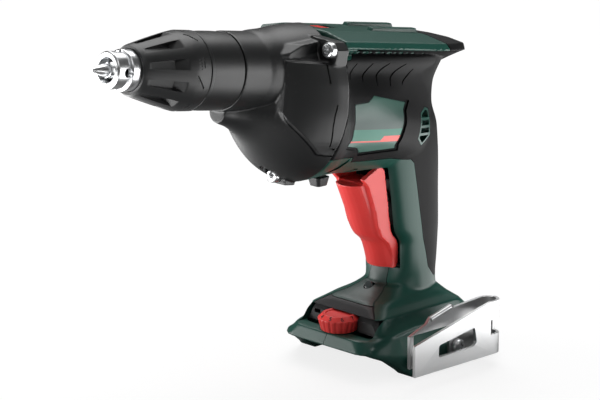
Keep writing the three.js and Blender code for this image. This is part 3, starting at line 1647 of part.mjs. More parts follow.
function electronics() {
  const top = boardZ + boardThickness;
  const board = block([boardFront, boardRear], [-boardHalfWidth, boardHalfWidth], [boardZ, top]);
  const chips = chipShares.map(([x, y, size]) => {
    const [cx, cy] = [mix(boardFront, boardRear, x), y * boardHalfWidth];
    return block([cx - size * chipSize, cx + size * chipSize], [cy - size * chipSize, cy + size * chipSize],
      [top - gap, top + chipHeight * size]);
  });
  return join(board, ...chips);
}

function addHandle() {
  piece('trigger', trigger(), redPlastic, body);
  piece('trigger_spring', triggerSpring(), brightSteel, body);
  piece('switch_body', switchBody(), darkPlastic, body);
  piece('direction_lever', directionLever(), darkPlastic, body);
  piece('top_slider', slider(), redPlastic, upper);
  piece('light_hood', lightHood(), darkGreen, body);
  piece('lamp_lens', lens(), clearPlastic, body);
}

function addFoot() {
  piece('speed_dial', dial(), redPlastic, body);
  piece('dial_pin', rod([dialX, 0, dialPinBottom], [dialX, 0, dialPinTop], dialShaftRadius),
    darkSteel, body);
  piece('dial_liner', dialLiner(), darkPlastic, body);
  piece('terminal_block', terminal(), darkPlastic, body);
  piece('contact_blade_left', contact(-1), brass, body);
  piece('contact_blade_right', contact(1), brass, body);
  piece('electronics_module', electronics(), darkPlastic, body);
  piece('belt_hook', beltHook(), brightSteel, body);
  piece('hook_screw', hookScrew(), brightSteel, body);
}

addNose();
addGears();
addMotor();
addShell();
addHandle();
addFoot();

export default body;
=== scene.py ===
import json
import math

import bmesh
import bpy
from mathutils import Matrix, Vector

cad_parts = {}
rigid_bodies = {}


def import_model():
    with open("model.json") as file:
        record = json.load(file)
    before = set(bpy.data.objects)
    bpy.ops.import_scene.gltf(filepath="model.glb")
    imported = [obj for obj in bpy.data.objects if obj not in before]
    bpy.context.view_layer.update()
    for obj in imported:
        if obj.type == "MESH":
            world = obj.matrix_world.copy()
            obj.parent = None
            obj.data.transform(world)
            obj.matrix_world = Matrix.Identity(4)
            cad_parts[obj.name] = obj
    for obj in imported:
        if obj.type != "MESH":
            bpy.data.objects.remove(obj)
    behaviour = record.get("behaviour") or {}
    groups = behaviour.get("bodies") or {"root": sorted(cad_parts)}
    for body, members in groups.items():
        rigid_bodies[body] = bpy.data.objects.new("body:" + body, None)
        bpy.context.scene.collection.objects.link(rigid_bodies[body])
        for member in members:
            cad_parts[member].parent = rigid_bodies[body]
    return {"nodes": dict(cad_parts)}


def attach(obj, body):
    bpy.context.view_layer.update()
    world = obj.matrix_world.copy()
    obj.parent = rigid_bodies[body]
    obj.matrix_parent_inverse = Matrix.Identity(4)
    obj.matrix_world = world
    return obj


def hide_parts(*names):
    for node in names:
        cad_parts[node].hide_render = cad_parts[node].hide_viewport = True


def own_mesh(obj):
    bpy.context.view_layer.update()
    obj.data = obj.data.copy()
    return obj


for item in list(bpy.data.objects):
    bpy.data.objects.remove(item)
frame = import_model()
bpy.context.view_layer.update()

MM = 0.001
GAP = 0.3 * MM
SEAM = 0.15 * MM
MERGE = 0.005 * MM
# Distances from the middle plane that cutters reach to, past the tool's side
REACH = 0.05
FAR = 0.06

# Place and tilt of the spindle
NOSE = Vector((-0.180, 0.0, 0.151))
TILT = math.radians(8.8)
UPPER = Matrix.Translation(NOSE) @ Matrix.Rotation(TILT, 4, "Y")

BODY_START = 0.1157
BODY_END = 0.211
CORE_END = 0.198
CORE_RUN = (BODY_START, CORE_END)
CORE_DEPTH = 0.0509
CORE_FALL = (0.0, -CORE_DEPTH)
DECK_HALF = 0.0276
DECK_HEIGHT = 0.0206
DECK_EDGE = 0.0177
BAND_HALF = 0.0298
BAND_HEIGHT = 0.0146
DECK_CROWN = 0.0003
CORE_HALF = 0.0346
WALL_SKIN = 0.0016
WALL = 0.0026
FOOT_FRONT = -0.0503
FOOT_REAR = 0.031
FOOT_HALF = 0.028
VOXEL = 0.00062


def mix(a, b, t):
    return a + (b - a) * t


def clear_selection():
    for item in bpy.context.selected_objects:
        item.select_set(False)


def active(obj):
    clear_selection()
    obj.select_set(True)
    bpy.context.view_layer.objects.active = obj
    return obj


def mesh_object(name, points, faces):
    mesh = bpy.data.meshes.new(name)
    mesh.from_pydata([tuple(p) for p in points], [], faces)
    mesh.update()
    obj = bpy.data.objects.new(name, mesh)
    bpy.context.scene.collection.objects.link(obj)
    bm = bmesh.new()
    bm.from_mesh(mesh)
    bmesh.ops.recalc_face_normals(bm, faces=bm.faces)
    bm.to_mesh(mesh)
    bm.free()
    return active(obj)


def drop(*objs):
    for obj in objs:
        bpy.data.objects.remove(obj, do_unlink=True)


def copy(obj, name):
    other = obj.copy()
    other.data = obj.data.copy()
    other.name = name
    bpy.context.scene.collection.objects.link(other)
    return active(other)


def use(obj, kind, **settings):
    """Adds a modifier, sets it and applies it."""
    active(obj)
    mod = obj.modifiers.new(kind.lower(), kind)
    for key, value in settings.items():
        setattr(mod, key, value)
    bpy.ops.object.modifier_apply(modifier=mod.name)
    return obj


def boolean(obj, cutter, how="DIFFERENCE", keep=False):
    use(obj, "BOOLEAN", object=cutter, operation=how, solver="MANIFOLD")
    if not keep:
        drop(cutter)
    return obj


def cut(obj, *cutters):
    for cutter in cutters:
        boolean(obj, cutter)
    return obj


def common(obj, cutter, keep=False):
    return boolean(obj, cutter, "INTERSECT", keep)


def add(obj, *others):
    for other in others:
        boolean(obj, other, "UNION")
    return obj


def merged(name, *objs):
    """Joins objects into one mesh as they are."""
    active(objs[0])
    for obj in objs[1:]:
        obj.select_set(True)
    bpy.ops.object.join()
    objs[0].name = name
    return objs[0]


def remesh(obj, size, rounds=6, factor=0.5):
    use(obj, "REMESH", mode="VOXEL", voxel_size=size, adaptivity=0.0)
    if rounds:
        use(obj, "SMOOTH", iterations=rounds, factor=factor)
    return obj


def transform(obj, matrix):
    obj.data.transform(matrix)
    return obj


def tilted(obj):
    """From spindle coordinates into the frame."""
    return transform(obj, UPPER)


def slopes(xs, ys):
    """Slopes of a smooth curve through the points that never overshoots them."""
    h = [b - a for a, b in zip(xs, xs[1:])]
    d = [(b - a) / k for a, b, k in zip(ys, ys[1:], h)]
    m = [d[0]]
    for i in range(1, len(d)):
        if d[i - 1] * d[i] <= 0:
            m.append(0.0)
            continue
        w1 = 2 * h[i] + h[i - 1]
        w2 = h[i] + 2 * h[i - 1]
        m.append((w1 + w2) / (w1 / d[i - 1] + w2 / d[i]))
    return m + [d[-1]]


def curve(xs, ys):
    ms = slopes(xs, ys)

    def at(x):
        i = max(k for k in range(len(xs) - 1) if x >= xs[k] or k == 0)
        h = xs[i + 1] - xs[i]
        t = min(max((x - xs[i]) / h, 0.0), 1.0)
        a = (1 + 2 * t) * (1 - t) ** 2
        b = t * (1 - t) ** 2
        c = t * t * (3 - 2 * t)
        e = t * t * (t - 1)
        return a * ys[i] + b * h * ms[i] + c * ys[i + 1] + e * h * ms[i + 1]

    return at


def stations(rows, steps):
    """The table's rows at more places, on smooth curves through the given ones."""
    up = rows[0][0] < rows[-1][0]
    table = rows if up else rows[::-1]
    xs = [row[0] for row in table]
    curves = [curve(xs, [row[k] for row in table]) for k in range(1, len(table[0]))]
    places = [mix(xs[0], xs[-1], k / steps) for k in range(steps + 1)]
    return [[x] + [f(x) for f in curves] for x in places]


def loft(name, rings):
    count = len(rings[0])
    points = [p for ring in rings for p in ring]
    faces = []
    for r in range(len(rings) - 1):
        for i in range(count):
            j = (i + 1) % count
            a = r * count
            faces.append((a + i, a + j, a + count + j, a + count + i))
    faces.append(tuple(range(count))[::-1])
    last = (len(rings) - 1) * count
    faces.append(tuple(range(last, last + count)))
    return mesh_object(name, points, faces)


def both_sides(half):
    """Half a section, y and v, with its other side."""
    return half + [(-y, v) for y, v in half[-2:0:-1]]


def mirrored(half):
    """Half a plan, x and y, with its other side."""
    return half + [(x, -y) for x, y in half[-2:0:-1]]


def rounded(ring, steps):
    """A closed smooth curve through the ring's points."""
    n = len(ring)
    out = []
    for i in range(n):
        p = [Vector(ring[(i + k) % n]) for k in (-1, 0, 1, 2)]
        for k in range(steps):
            t = k / steps
            q = (2 * p[1] + (p[2] - p[0]) * t + (2 * p[0] - 5 * p[1] + 4 * p[2] - p[3]) * t * t
                 + (3 * p[1] - p[0] - 3 * p[2] + p[3]) * t ** 3)
            out.append(q / 2)
    return out


def inset(points, depth):
    """Every edge of a flat outline moved inwards by the depth."""
    n = len(points)
    pts = [Vector(p) for p in points]
    area = sum(pts[i].x * pts[(i + 1) % n].y - pts[(i + 1) % n].x * pts[i].y for i in range(n))
    sign = 1 if area > 0 else -1

    def normal(a, b):
        way = (b - a).normalized() * sign
        return Vector((-way.y, way.x))

    out = []
    for i in range(n):
        one = normal(pts[i - 1], pts[i])
        two = normal(pts[i], pts[(i + 1) % n])
        out.append(pts[i] + (one + two) * (depth / max(1 + one.dot(two), 0.5)))
    return out


def placed(shares, first, second):
    return [(mix(*first, a), mix(*second, b)) for a, b in shares]


def side_prism(name, outline, y0, y1):
    """Outline in X and Z (or s and v), drawn out along Y."""
    rings = [[Vector((p[0], y, p[1])) for p in outline] for y in (y0, y1)]
    return loft(name, rings)


def front_prism(name, outline, x0, x1):
    return loft(name, [[Vector((x, p[0], p[1])) for p in outline] for x in (x0, x1)])


def box(name, xs, ys, zs):
    """A cube at its size and place."""
    bpy.ops.mesh.primitive_cube_add(size=1)
    obj = bpy.context.active_object
    obj.name = name
    size = Matrix.Diagonal((xs[1] - xs[0], ys[1] - ys[0], zs[1] - zs[0], 1))
    middle = Vector((sum(xs) / 2, sum(ys) / 2, sum(zs) / 2))
    return transform(obj, Matrix.Translation(middle) @ size)


def rod(name, start, end, radius, sides=48):
    """A cylinder from one point to another."""
    start, end = Vector(start), Vector(end)
    way = end - start
    bpy.ops.mesh.primitive_cylinder_add(vertices=sides, radius=radius, depth=way.length)
    obj = bpy.context.active_object
    obj.name = name
    turn = way.to_track_quat("Z", "Y").to_matrix().to_4x4()
    return transform(obj, Matrix.Translation((start + end) / 2) @ turn)


# Sections of the housing, as shares of its sizes
DECK_STATIONS = [
    [0, 1, 1, 1, 0.6], [0.3, 0.985, 0.995, 0.995, 0.6], [0.72, 0.955, 0.965, 0.98, 0.6],
    [0.865, 0.81, 0.92, 0.98, 0.36], [0.935, 0.64, 0.87, 0.95, 0.3], [0.975, 0.43, 0.82, 0.9, 0.38],
    [1, 0.2, 0.76, 0.82, 0.5],
]
CORE_PLACES = [0, 0.07, 0.15, 0.3, 0.48, 0.66, 0.81, 0.93, 1]
CORE_WIDTHS = [
    [0.58, 0.87, 0.87, 0.955, 1, 0.965, 0.9, 0.78, 0.51],
    [0.5, 0.71, 0.71, 0.82, 0.88, 0.875, 0.84, 0.73, 0.49],
    [0.43, 0.56, 0.56, 0.69, 0.76, 0.765, 0.745, 0.65, 0.43],
    [0.4, 0.52, 0.52, 0.68, 0.75, 0.755, 0.73, 0.58, 0.35],
    [0.4, 0.5, 0.49, 0.62, 0.71, 0.715, 0.69, 0.53, 0.32],
    [0.4, 0.48, 0.45, 0.52, 0.62, 0.64, 0.62, 0.5, 0.29],
    [0.38, 0.44, 0.4, 0.45, 0.53, 0.56, 0.55, 0.47, 0.28],
    [0.33, 0.37, 0.33, 0.35, 0.4, 0.43, 0.43, 0.4, 0.25],
    [0.2, 0.22, 0.2, 0.2, 0.22, 0.24, 0.24, 0.22, 0.15],
]
CORE_HEIGHTS = [0.21, 0.15, 0.03, -0.155, -0.34, -0.43, -0.57, -0.72, -0.875]
CORE_KEELS = [-1, -0.995, -0.965, -0.93, -0.95, -0.95, -0.94, -0.9, -0.8]
CORE_TOP = 0.24
GRIP_TOP = 0.134
GRIP_FRONT = -0.020
GRIP_REAR = 0.0175
GRIP_HALF = 0.0168
HANDLE_MIDDLE = 0.1
HANDLE_STATIONS = [
    [0.1, 1.1, 1, 1, 0.9], [0.15, 0.86, 0.98, 0.96, 0.9], [0.19, 0.73, 0.97, 0.95, 1],
    [0.245, 0.58, 1, 0.96, 1.5], [0.32, 0.56, 1.03, 0.98, 1.8], [0.38, 0.77, 1.04, 1, 1.8],
    [0.5, 0.89, 1.02, 1, 1.8], [0.62, 1.04, 1.005, 1.01, 1.6], [0.731, 1.4, 0.971, 0.97, 1],
    [0.82, 1.5, 0.8, 0.86, 1], [0.88, 1.5, 0.86, 0.83, 1], [0.948, 1.5, 1.24, 0.81, 1],
    [1, 1.5, 1.75, 0.78, 1],
]
FOOT_FLOOR = -0.001
FOOT_TOP = 0.023
FOOT_STATIONS = [
    [0, 1, 1, 1, 0.13], [0.238, 0.9364, 0.987, 0.9821, 0.3], [0.267, 0.8449, 0.968, 0.9443, 0.23],
    [0.446, 0.8052, 0.823, 0.88, 0.2], [0.592, 0.7356, 0.694, 0.8393, 0.165],
    [0.713, 0.6759, 0.606, 0.6964, 0.28], [0.804, 0.6163, 0.581, 0.6214, 0.45],
    [0.858, 0.5229, 0.574, 0.5643, 0.58], [0.917, 0.4493, 0.568, 0.5214, 0.68],
    [1, 0.3837, 0.561, 0.4786, 0.8],
]
# Regions that are smoothed into one another: handle and body, handle and foot, wing tips.
# Each is lowest and highest X, least distance to the middle plane, lowest and highest Z.
SOFT_REGIONS = [
    (-0.2, 0.2, 0.0, 0.078, 0.118), (-0.2, 0.2, 0.0, 0.0165, 0.034),
    (-0.052, -0.030, 0.022, -0.008, 0.008),
]
SOFT_EDGE = 0.004
SOFT_ROUNDS = 22
WING_FRONT = -0.0465
WING_HALF = 0.038
WING_BOTTOM = -0.013
WING_SHOULDER = 0.006
WING_INNER = 0.024
WING_STATIONS = [
    [0, 0.1, 0.3, 0.06, 0.12], [0.09, 0.58, 0.4, 0.16, 0.34], [0.2, 0.85, 0.75, 0.22, 0.8],
    [0.24, 1, 0.85, 0.2, 1], [0.4, 1, 1.05, 0.1, 1], [0.96, 1, 1, 0.1, 1], [1, 0.7, 0.6, 0.2, 0.9],
]


def deck():
    rings = []
    for back, across, top, side, under in stations(DECK_STATIONS, 60):
        s = mix(BODY_START, BODY_END, back)
        half = [
            (0, DECK_HEIGHT * top + DECK_CROWN), (DECK_HALF * 0.5 * across, DECK_HEIGHT * top),
            (DECK_HALF * across, DECK_EDGE * side), (BAND_HALF * across, BAND_HEIGHT * side),
            (0, BAND_HEIGHT * under),
        ]
        rings.append([Vector((s, y, v)) for y, v in both_sides(half)])
    return tilted(loft("deck", rings))


def core():
    rows = [[p] + w + [k] for p, w, k in zip(CORE_PLACES, CORE_WIDTHS, CORE_KEELS)]
    rings = []
    for row in stations(rows, 70):
        s = mix(BODY_START, CORE_END, row[0])
        side = [(CORE_HALF * w, CORE_DEPTH * h) for w, h in zip(row[1:-1], CORE_HEIGHTS)]
        half = [(0, CORE_DEPTH * CORE_TOP)] + side + [(0, CORE_DEPTH * row[-1])]
        ring = rounded(both_sides(half), 5)
        rings.append([Vector((s, q[0], q[1])) for q in ring])
    return tilted(loft("core", rings))


def handle_ring(front, rear, width, square, steps=16):
    middle = (front + rear) * HANDLE_MIDDLE
    half = []
    for i in range(2 * steps + 1):
        angle = i / (2 * steps) * math.pi
        c, d = math.cos(angle), math.sin(angle)
        power = 1 / square if i <= steps else 0.75
        reach = middle - front if i <= steps else rear - middle
        x = middle - math.copysign(abs(c) ** power, c) * reach
        half.append((x, width * abs(d) ** power))
    return mirrored(half)


def handle():
    rings = []
    for height, front, rear, width, square in stations(HANDLE_STATIONS, 90):
        ring = handle_ring(GRIP_FRONT * front, GRIP_REAR * rear, GRIP_HALF * width, square)
        rings.append([Vector((x, y, GRIP_TOP * height)) for x, y in ring])
    return loft("handle", rings)


def foot_ring(front, rear, half_width, corner, steps=6):
    half = [(front, 0)]
    for k in range(steps + 1):
        angle = k / steps * math.pi / 2
        half.append((front + corner * (1 - math.cos(angle)),
                     half_width - corner * (1 - math.sin(angle))))
    for k in range(steps + 1):
        angle = k / steps * math.pi / 2
        half.append((rear - corner * (1 - math.sin(angle)),
                     half_width - corner * (1 - math.cos(angle))))
    half.append((rear, 0))
    return mirrored(half)


def foot():
    rings = []
    for height, front, rear, width, corner in FOOT_STATIONS:
        across = FOOT_HALF * width
        ring = foot_ring(FOOT_FRONT * front, FOOT_REAR * rear, across, across * corner * 1.35)
        z = mix(FOOT_FLOOR, FOOT_TOP, height)
        rings.append([Vector((x, y, z)) for x, y in ring])
    return loft("foot", rings)


def wing(side):
    rings = []
    for back, across, shoulder, top, low in WING_STATIONS:
        x = mix(WING_FRONT, FOOT_REAR, back)
        outer = mix(FOOT_HALF, WING_HALF, across)
        section = [
            (WING_INNER, low * WING_BOTTOM), (outer, low * WING_BOTTOM), (outer, top * WING_BOTTOM),
            (FOOT_HALF, shoulder * WING_SHOULDER), (WING_INNER, shoulder * WING_SHOULDER),
        ]
        rings.append([Vector((x, side * y, z)) for y, z in section])
    return loft("wing", rings)


def softness(place, x0, x1, y0, z0, z1):
    """How far a place is inside a region, from 0 at its border to 1."""
    if not x0 < place.x < x1 or abs(place.y) < y0:
        return 0.0
    middle, half = (z0 + z1) / 2, (z1 - z0) / 2
    edge = min((place.x - x0) / SOFT_EDGE, (x1 - place.x) / SOFT_EDGE, 1.0)
    return max(0.0, min(1.0, 2 * (1 - abs(place.z - middle) / half))) * edge


def master_body():
    whole = merged("whole", deck(), core(), handle(), foot(), wing(1), wing(-1))
    remesh(whole, VOXEL, 2)
    blend = whole.vertex_groups.new(name="blend")
    for vert in whole.data.vertices:
        weight = max(softness(vert.co, *region) for region in SOFT_REGIONS)
        if weight > 0:
            blend.add([vert.index], weight, "REPLACE")
    use(whole, "SMOOTH", iterations=SOFT_ROUNDS, factor=0.5, vertex_group="blend")
    whole.vertex_groups.clear()
    return whole


def shrunk(obj, name, depth, size=0.0012):
    """The body grown smaller by a depth, to hollow pieces out."""
    inner = remesh(copy(obj, name), size, 0)
    use(inner, "DISPLACE", strength=-depth, mid_level=0.0)
    return remesh(inner, size, 4)


GRIP_SHARES = [
    (-0.445, 0.956), (-0.286, 0.9225), (-0.232, 0.9494), (0.032, 0.9007), (0.3, 0.851), (0.3, 0.4),
    (0.14, 0.163), (0.052, 0.163), (0.024, 0.2), (0.012, 0.255), (-0.001, 0.305), (-0.025, 0.47),
    (-0.038, 0.55), (-0.048, 0.563), (-0.08, 0.568), (-0.122, 0.581), (-0.194, 0.59),
    (-0.279, 0.603), (-0.285, 0.622), (-0.48, 0.658),
]
LABEL_SHARES = [
    (0.1677, 0.5383), (0.1725, 0.2259), (0.2831, 0.2063), (0.3378, 0.1493), (0.6476, 0.222),
    (0.6112, 0.2849), (0.6112, 0.4028), (0.5747, 0.609), (0.593, 0.6483), (0.2831, 0.6798),
    (0.2406, 0.6287), (0.1434, 0.609),
]
VENT_SHARES = [
    (0.836, 0.268), (0.8803, 0.29), (0.9146, 0.5422), (0.8265, 0.6367), (0.7652, 0.565),
    (0.7774, 0.3242),
]
CAP_SHARES = [
    (0.7266, -0.5894), (0.8202, -0.3654), (0.8542, -0.2574), (1.0243, -0.2495), (1.2187, -0.2259),
    (1.2673, -0.5894),
]
HOOD_HALF = 0.0205
HOOD_HEIGHT = 0.0204
HOOD_WALL = 0.0038
HOOD_SEAM = (0.0171, 0.0174)
HOOD_SHARES = [
    (0, 1.56), (0.27, 1.56), (0.29, 1.2), (0.5, 0.98), (1, 0.655), (1, 0.3),
    (-1, 0.3), (-1, 0.655), (-0.5, 0.98), (-0.29, 1.2), (-0.27, 1.56),
]
LABEL_RIM = 0.0013
VENT_FRAME = 0.0013
VENT_BARS = (0.27, 0.5, 0.73)
VENT_BAR = 0.0012
# S-shaped grooves under the band: s and v, top to bottom
GROOVES = [
    [(0.1341, 0.0065), (0.1317, 0.0042), (0.1295, 0.0012), (0.1290, -0.0007)],
    [(0.1454, 0.0066), (0.1421, 0.0039), (0.1383, 0.0004), (0.1378, -0.0017)],
    [(0.1570, 0.0066), (0.1519, 0.0039), (0.1481, 0.0004), (0.1474, -0.0034)],
    [(0.1687, 0.0063), (0.1625, 0.0032), (0.1581, -0.0003), (0.1570, -0.0038)],
    [(0.1753, 0.0038), (0.1708, 0.0005), (0.1673, -0.0022), (0.1669, -0.0034)],
]
GROOVE_WIDTH = 0.0008
GROOVE_DEPTH = 0.0008
CRESCENT = [
    (0.1345, -0.0368), (0.1350, -0.0388), (0.1315, -0.0425), (0.1270, -0.0446), (0.1232, -0.0450),
    (0.1240, -0.0440), (0.1285, -0.0412),
]
ARROW = [(0.1435, -0.0457), (0.1462, -0.0437), (0.1484, -0.0437)]
ARROW_WIDTH = 0.0007
RAIL_SPAN = 0.008
RAIL_WIDTH = 0.0034
RAIL_HEIGHT = 0.0016
RAIL_RUN = (0.1509, 0.1824)
RAIL_SLOPE = 0.0026
SLOT_HALF = 0.0113
SLOT_BACK = -0.0035
SLOT_RISE = (0.0312, 0.0836)
RECESS_HALF = 0.0235
RECESS_REAR = -0.028
RECESS_RISE = (0.0047, 0.013)
SCREW_PLACES = [
    (-0.01167, 0.0131, 0.1270), (-0.01337, 0.0125, 0.08915), (-0.06205, 0.00715, 0.08613),
    (0.00248, 0.0125, 0.02718), (0.0217, 0.0185, 0.00544),
]
SCREW_HEAD = 0.0034
LENS_X = -0.0203
LENS_Z = 0.0232
LENS_R = 0.0023
LENS_LEAN = 0.8
# Cuts in the housing: ranges along, across and up. The last two are in spindle coordinates.
BAY = ((-0.026, 0.027), (-0.032, 0.032), (-0.008, 0.0))
BAY_NECK = ((WING_FRONT + 0.003, 0.0271), (-0.0284, 0.0284), (-0.014, 0.0001))
BAY_WINDOW = ((-0.0203, 0.0158), (-0.0193, 0.0193), (-0.002, 0.0096))
SLIDER_POCKET = ((0.1212, 0.1338), (-0.0043, 0.0043), (0.0167, 0.03))
SHADOW_LINE = ((0.1185, 0.192), (0.0165, 0.0268), (0.0098, 0.0139))


def flank_prism(name, outline, side):
    """A prism on one side of the tool from an outline in X and Z."""
    return side_prism(name, outline, side * SEAM, side * FAR)


def skin_outline(shares, depth=0.0):
    return inset(placed(shares, CORE_RUN, CORE_FALL), depth)


def skin_prism(shares, side, depth=0.0):
    return tilted(flank_prism("prism", skin_outline(shares, depth), side))


def grip_prism(side, depth=0.0):
    outline = inset(placed(GRIP_SHARES, (0, -NOSE.x), (0, NOSE.z)), depth)
    return flank_prism("prism", outline, side)


def cap_prism(depth=0.0):
    return tilted(side_prism("prism", skin_outline(CAP_SHARES, depth), -FAR, FAR))


def hood_prism(depth=0.0):
    outline = inset(placed(HOOD_SHARES, (0, HOOD_HALF), (0, HOOD_HEIGHT)), depth)
    return front_prism("prism", outline, FOOT_FRONT, 0.0)


def label_step(side, shallow):
    """The black rim stands round the label in a step."""
    rim = skin_prism(LABEL_SHARES, side, -LABEL_RIM)
    return cut(rim, copy(shallow, "shallow_d"))


def ribbon(line, width, side):
    """A groove cutter that follows a line of s and v, pointed at both ends."""
    n = 20
    ts = [k / (len(line) - 1) for k in range(len(line))]
    xs = curve(ts, [p[0] for p in line])
    zs = curve(ts, [p[1] for p in line])
    mid = [Vector((xs(k / n), zs(k / n))) for k in range(n + 1)]
    left, right = [], []
    for k, p in enumerate(mid):
        way = (mid[min(k + 1, n)] - mid[max(k - 1, 0)]).normalized()
        w = width / 2 * (0.25 + 0.75 * math.sin(math.pi * min(max(k / n, 0.06), 0.94)) ** 0.5)
        left.append(p + Vector((-way.y, way.x)) * w)
        right.append(p - Vector((-way.y, way.x)) * w)
    outline = left + right[::-1]
    return tilted(side_prism("ribbon", outline, side * 0.002, side * REACH))


def mitered(line, width):
    """Outline round a broken line of points, with a constant width."""
    pts = [Vector(p) for p in line]
    left, right = [], []
    for k, p in enumerate(pts):
        a = (pts[k] - pts[k - 1]).normalized() if k else (pts[1] - pts[0]).normalized()
        b = (pts[k + 1] - pts[k]).normalized() if k + 1 < len(pts) else a
        n1, n2 = Vector((-a.y, a.x)), Vector((-b.y, b.x))
        step = (n1 + n2) / max(1 + n1.dot(n2), 0.5) * width / 2
        left.append(p + step)
        right.append(p - step)
    return left + right[::-1]


def vent_holes(side):
    outline = skin_outline(VENT_SHARES, VENT_FRAME)
    heights = [p[1] for p in outline]
    low, high = min(heights), max(heights)
    window = tilted(side_prism("window", outline, side * 0.004, side * REACH))
    for share in VENT_BARS:
        v = mix(low, high, share)
        bar = tilted(box("bar", (BODY_START, BODY_END), (-FAR, FAR),
                         (v - VENT_BAR / 2, v + VENT_BAR / 2)))
        window = cut(window, bar)
    return window


def rail(side):
    outline = [
        (RAIL_RUN[0] - RAIL_SLOPE, DECK_EDGE), (RAIL_RUN[0], DECK_HEIGHT + RAIL_HEIGHT),
        (RAIL_RUN[1] - RAIL_SLOPE, DECK_HEIGHT + RAIL_HEIGHT), (RAIL_RUN[1], DECK_EDGE),
    ]
    y = side * RAIL_SPAN
    obj = side_prism("rail", outline, y - RAIL_WIDTH / 2, y + RAIL_WIDTH / 2)
    use(obj, "BEVEL", width=0.0005, segments=3, limit_method="ANGLE")
    return tilted(obj)


def groove_set(side, shallow):
    lines = [ribbon(line, GROOVE_WIDTH, side) for line in GROOVES]
    return cut(merged("grooves", *lines), copy(shallow, "shallow_a"))


def mark_set(shallow):
    rows = []
    for side in (1, -1):
        ys = (side * 0.004, side * REACH)
        rows.append(side_prism("crescent", CRESCENT, *ys))
        rows.append(side_prism("mark", mitered(ARROW, ARROW_WIDTH), *ys))
    return cut(tilted(merged("marks", *rows)), copy(shallow, "shallow_b"))


def openings():
    """Everything that is cut right into the housing."""
    rows = [
        add(box("bay", *BAY), box("neck", *BAY_NECK), box("window", *BAY_WINDOW)),
        box("slot", (FOOT_FRONT, SLOT_BACK), (-SLOT_HALF, SLOT_HALF), SLOT_RISE),
        box("recess", (FOOT_FRONT - GAP, RECESS_REAR), (-RECESS_HALF, RECESS_HALF), RECESS_RISE),
        tilted(box("pocket", *SLIDER_POCKET)),
        vent_holes(1), vent_holes(-1),
    ]
    rows += [screw_hole(place) for place in SCREW_PLACES]
    return merged("openings", *rows)


def screw_hole(place):
    x, y, z = place
    return rod("hole", (x, y, z), (x, 0.05, z), SCREW_HEAD + GAP)


def skin_set(whole, under, shallow):
    skin = cut(copy(whole, "skin"), copy(under, "under_a"))
    out = {}
    for name, side in (("left", -1), ("right", 1)):
        grip = common(copy(skin, "grip_skin_" + name), grip_prism(side, GAP))
        grip = cut(grip, cap_prism(0.0), skin_prism(VENT_SHARES, side),
                   label_step(side, shallow), skin_prism(LABEL_SHARES, side))
        out["grip_" + name] = cut(grip, groove_set(side, shallow))
        field = common(skin_prism(LABEL_SHARES, side, GAP), copy(shallow, "shallow_c"))
        field.name = "label_field_" + name
        out["label_" + name] = cut(field, copy(under, "under_b"))
        vent = common(copy(skin, "vent_grille_" + name), skin_prism(VENT_SHARES, side, GAP))
        out["vent_frame_" + name] = cut(vent, vent_holes(side))
    holes = merged("holes", *[screw_hole(place) for place in SCREW_PLACES])
    out["grip_right"] = cut(out["grip_right"], holes)
    out["rear_cap"] = common(skin, cap_prism(GAP))
    out["rear_cap"].name = "tail_cap"
    return out


def lamp_hood(whole, floor):
    hood = cut(common(hood_prism(GAP / 2), copy(whole, "whole_a")), copy(floor, "floor_a"))
    hood.name = "lamp_hood"
    drop_z = 0.004 * LENS_LEAN
    lens_hole = rod("lens", (LENS_X - 0.004, 0, LENS_Z + drop_z),
                    (LENS_X + 0.004, 0, LENS_Z - drop_z), LENS_R + GAP)
    limit = box("limit", (FOOT_FRONT, SLOT_BACK + 0.002), (-FAR, FAR),
                (RECESS_RISE[1] + GAP, SLOT_RISE[0] - GAP))
    return cut(common(hood, limit), lens_hole)


def housing_pieces():
    whole = master_body()
    under = shrunk(whole, "under", WALL_SKIN)
    shallow = shrunk(whole, "shallow", GROOVE_DEPTH)
    hollow = shrunk(whole, "hollow", WALL)
    hood_floor = shrunk(whole, "hood_floor", HOOD_WALL)
    out = skin_set(whole, under, shallow)
    hood = lamp_hood(whole, hood_floor)
    # The hood's lower lip, under the seam, becomes a piece of its own in the dark moulding: painted
    # shade on the lip's front face.
    low = box("low", (FOOT_FRONT, 0.0), (-REACH, REACH), (0.0, HOOD_SEAM[0]))
    out["visor"] = common(copy(hood, "dial_visor"), low)
    high = box("high", (FOOT_FRONT, 0.0), (-REACH, REACH), (HOOD_SEAM[1], 0.06))
    out["light_hood"] = common(hood, high)
    shell = cut(whole, hollow)
    recess = add(grip_prism(1), grip_prism(-1), cap_prism(-GAP))
    shell = cut(shell, cut(recess, under))
    shell = cut(shell, cut(hood_prism(-GAP / 2), hood_floor))
    shell = add(shell, rail(1), rail(-1))
    shell = cut(shell, openings(), mark_set(shallow))
    for side in (-1, 1):
        ys = sorted(side * y for y in SHADOW_LINE[1])
        shadow = box("shadow_line", SHADOW_LINE[0], ys, SHADOW_LINE[2])
        shell = cut(shell, tilted(shadow))
    for name, side in (("left", -1), ("right", 1)):
        ys = sorted((side * SEAM, side * FAR))
        keep = box("keep", (-0.2, 0.1), ys, (-0.02, 0.2))
        out["housing_" + name] = common(copy(shell, "shell_" + name), keep)
    drop(shell, shallow)
    return out


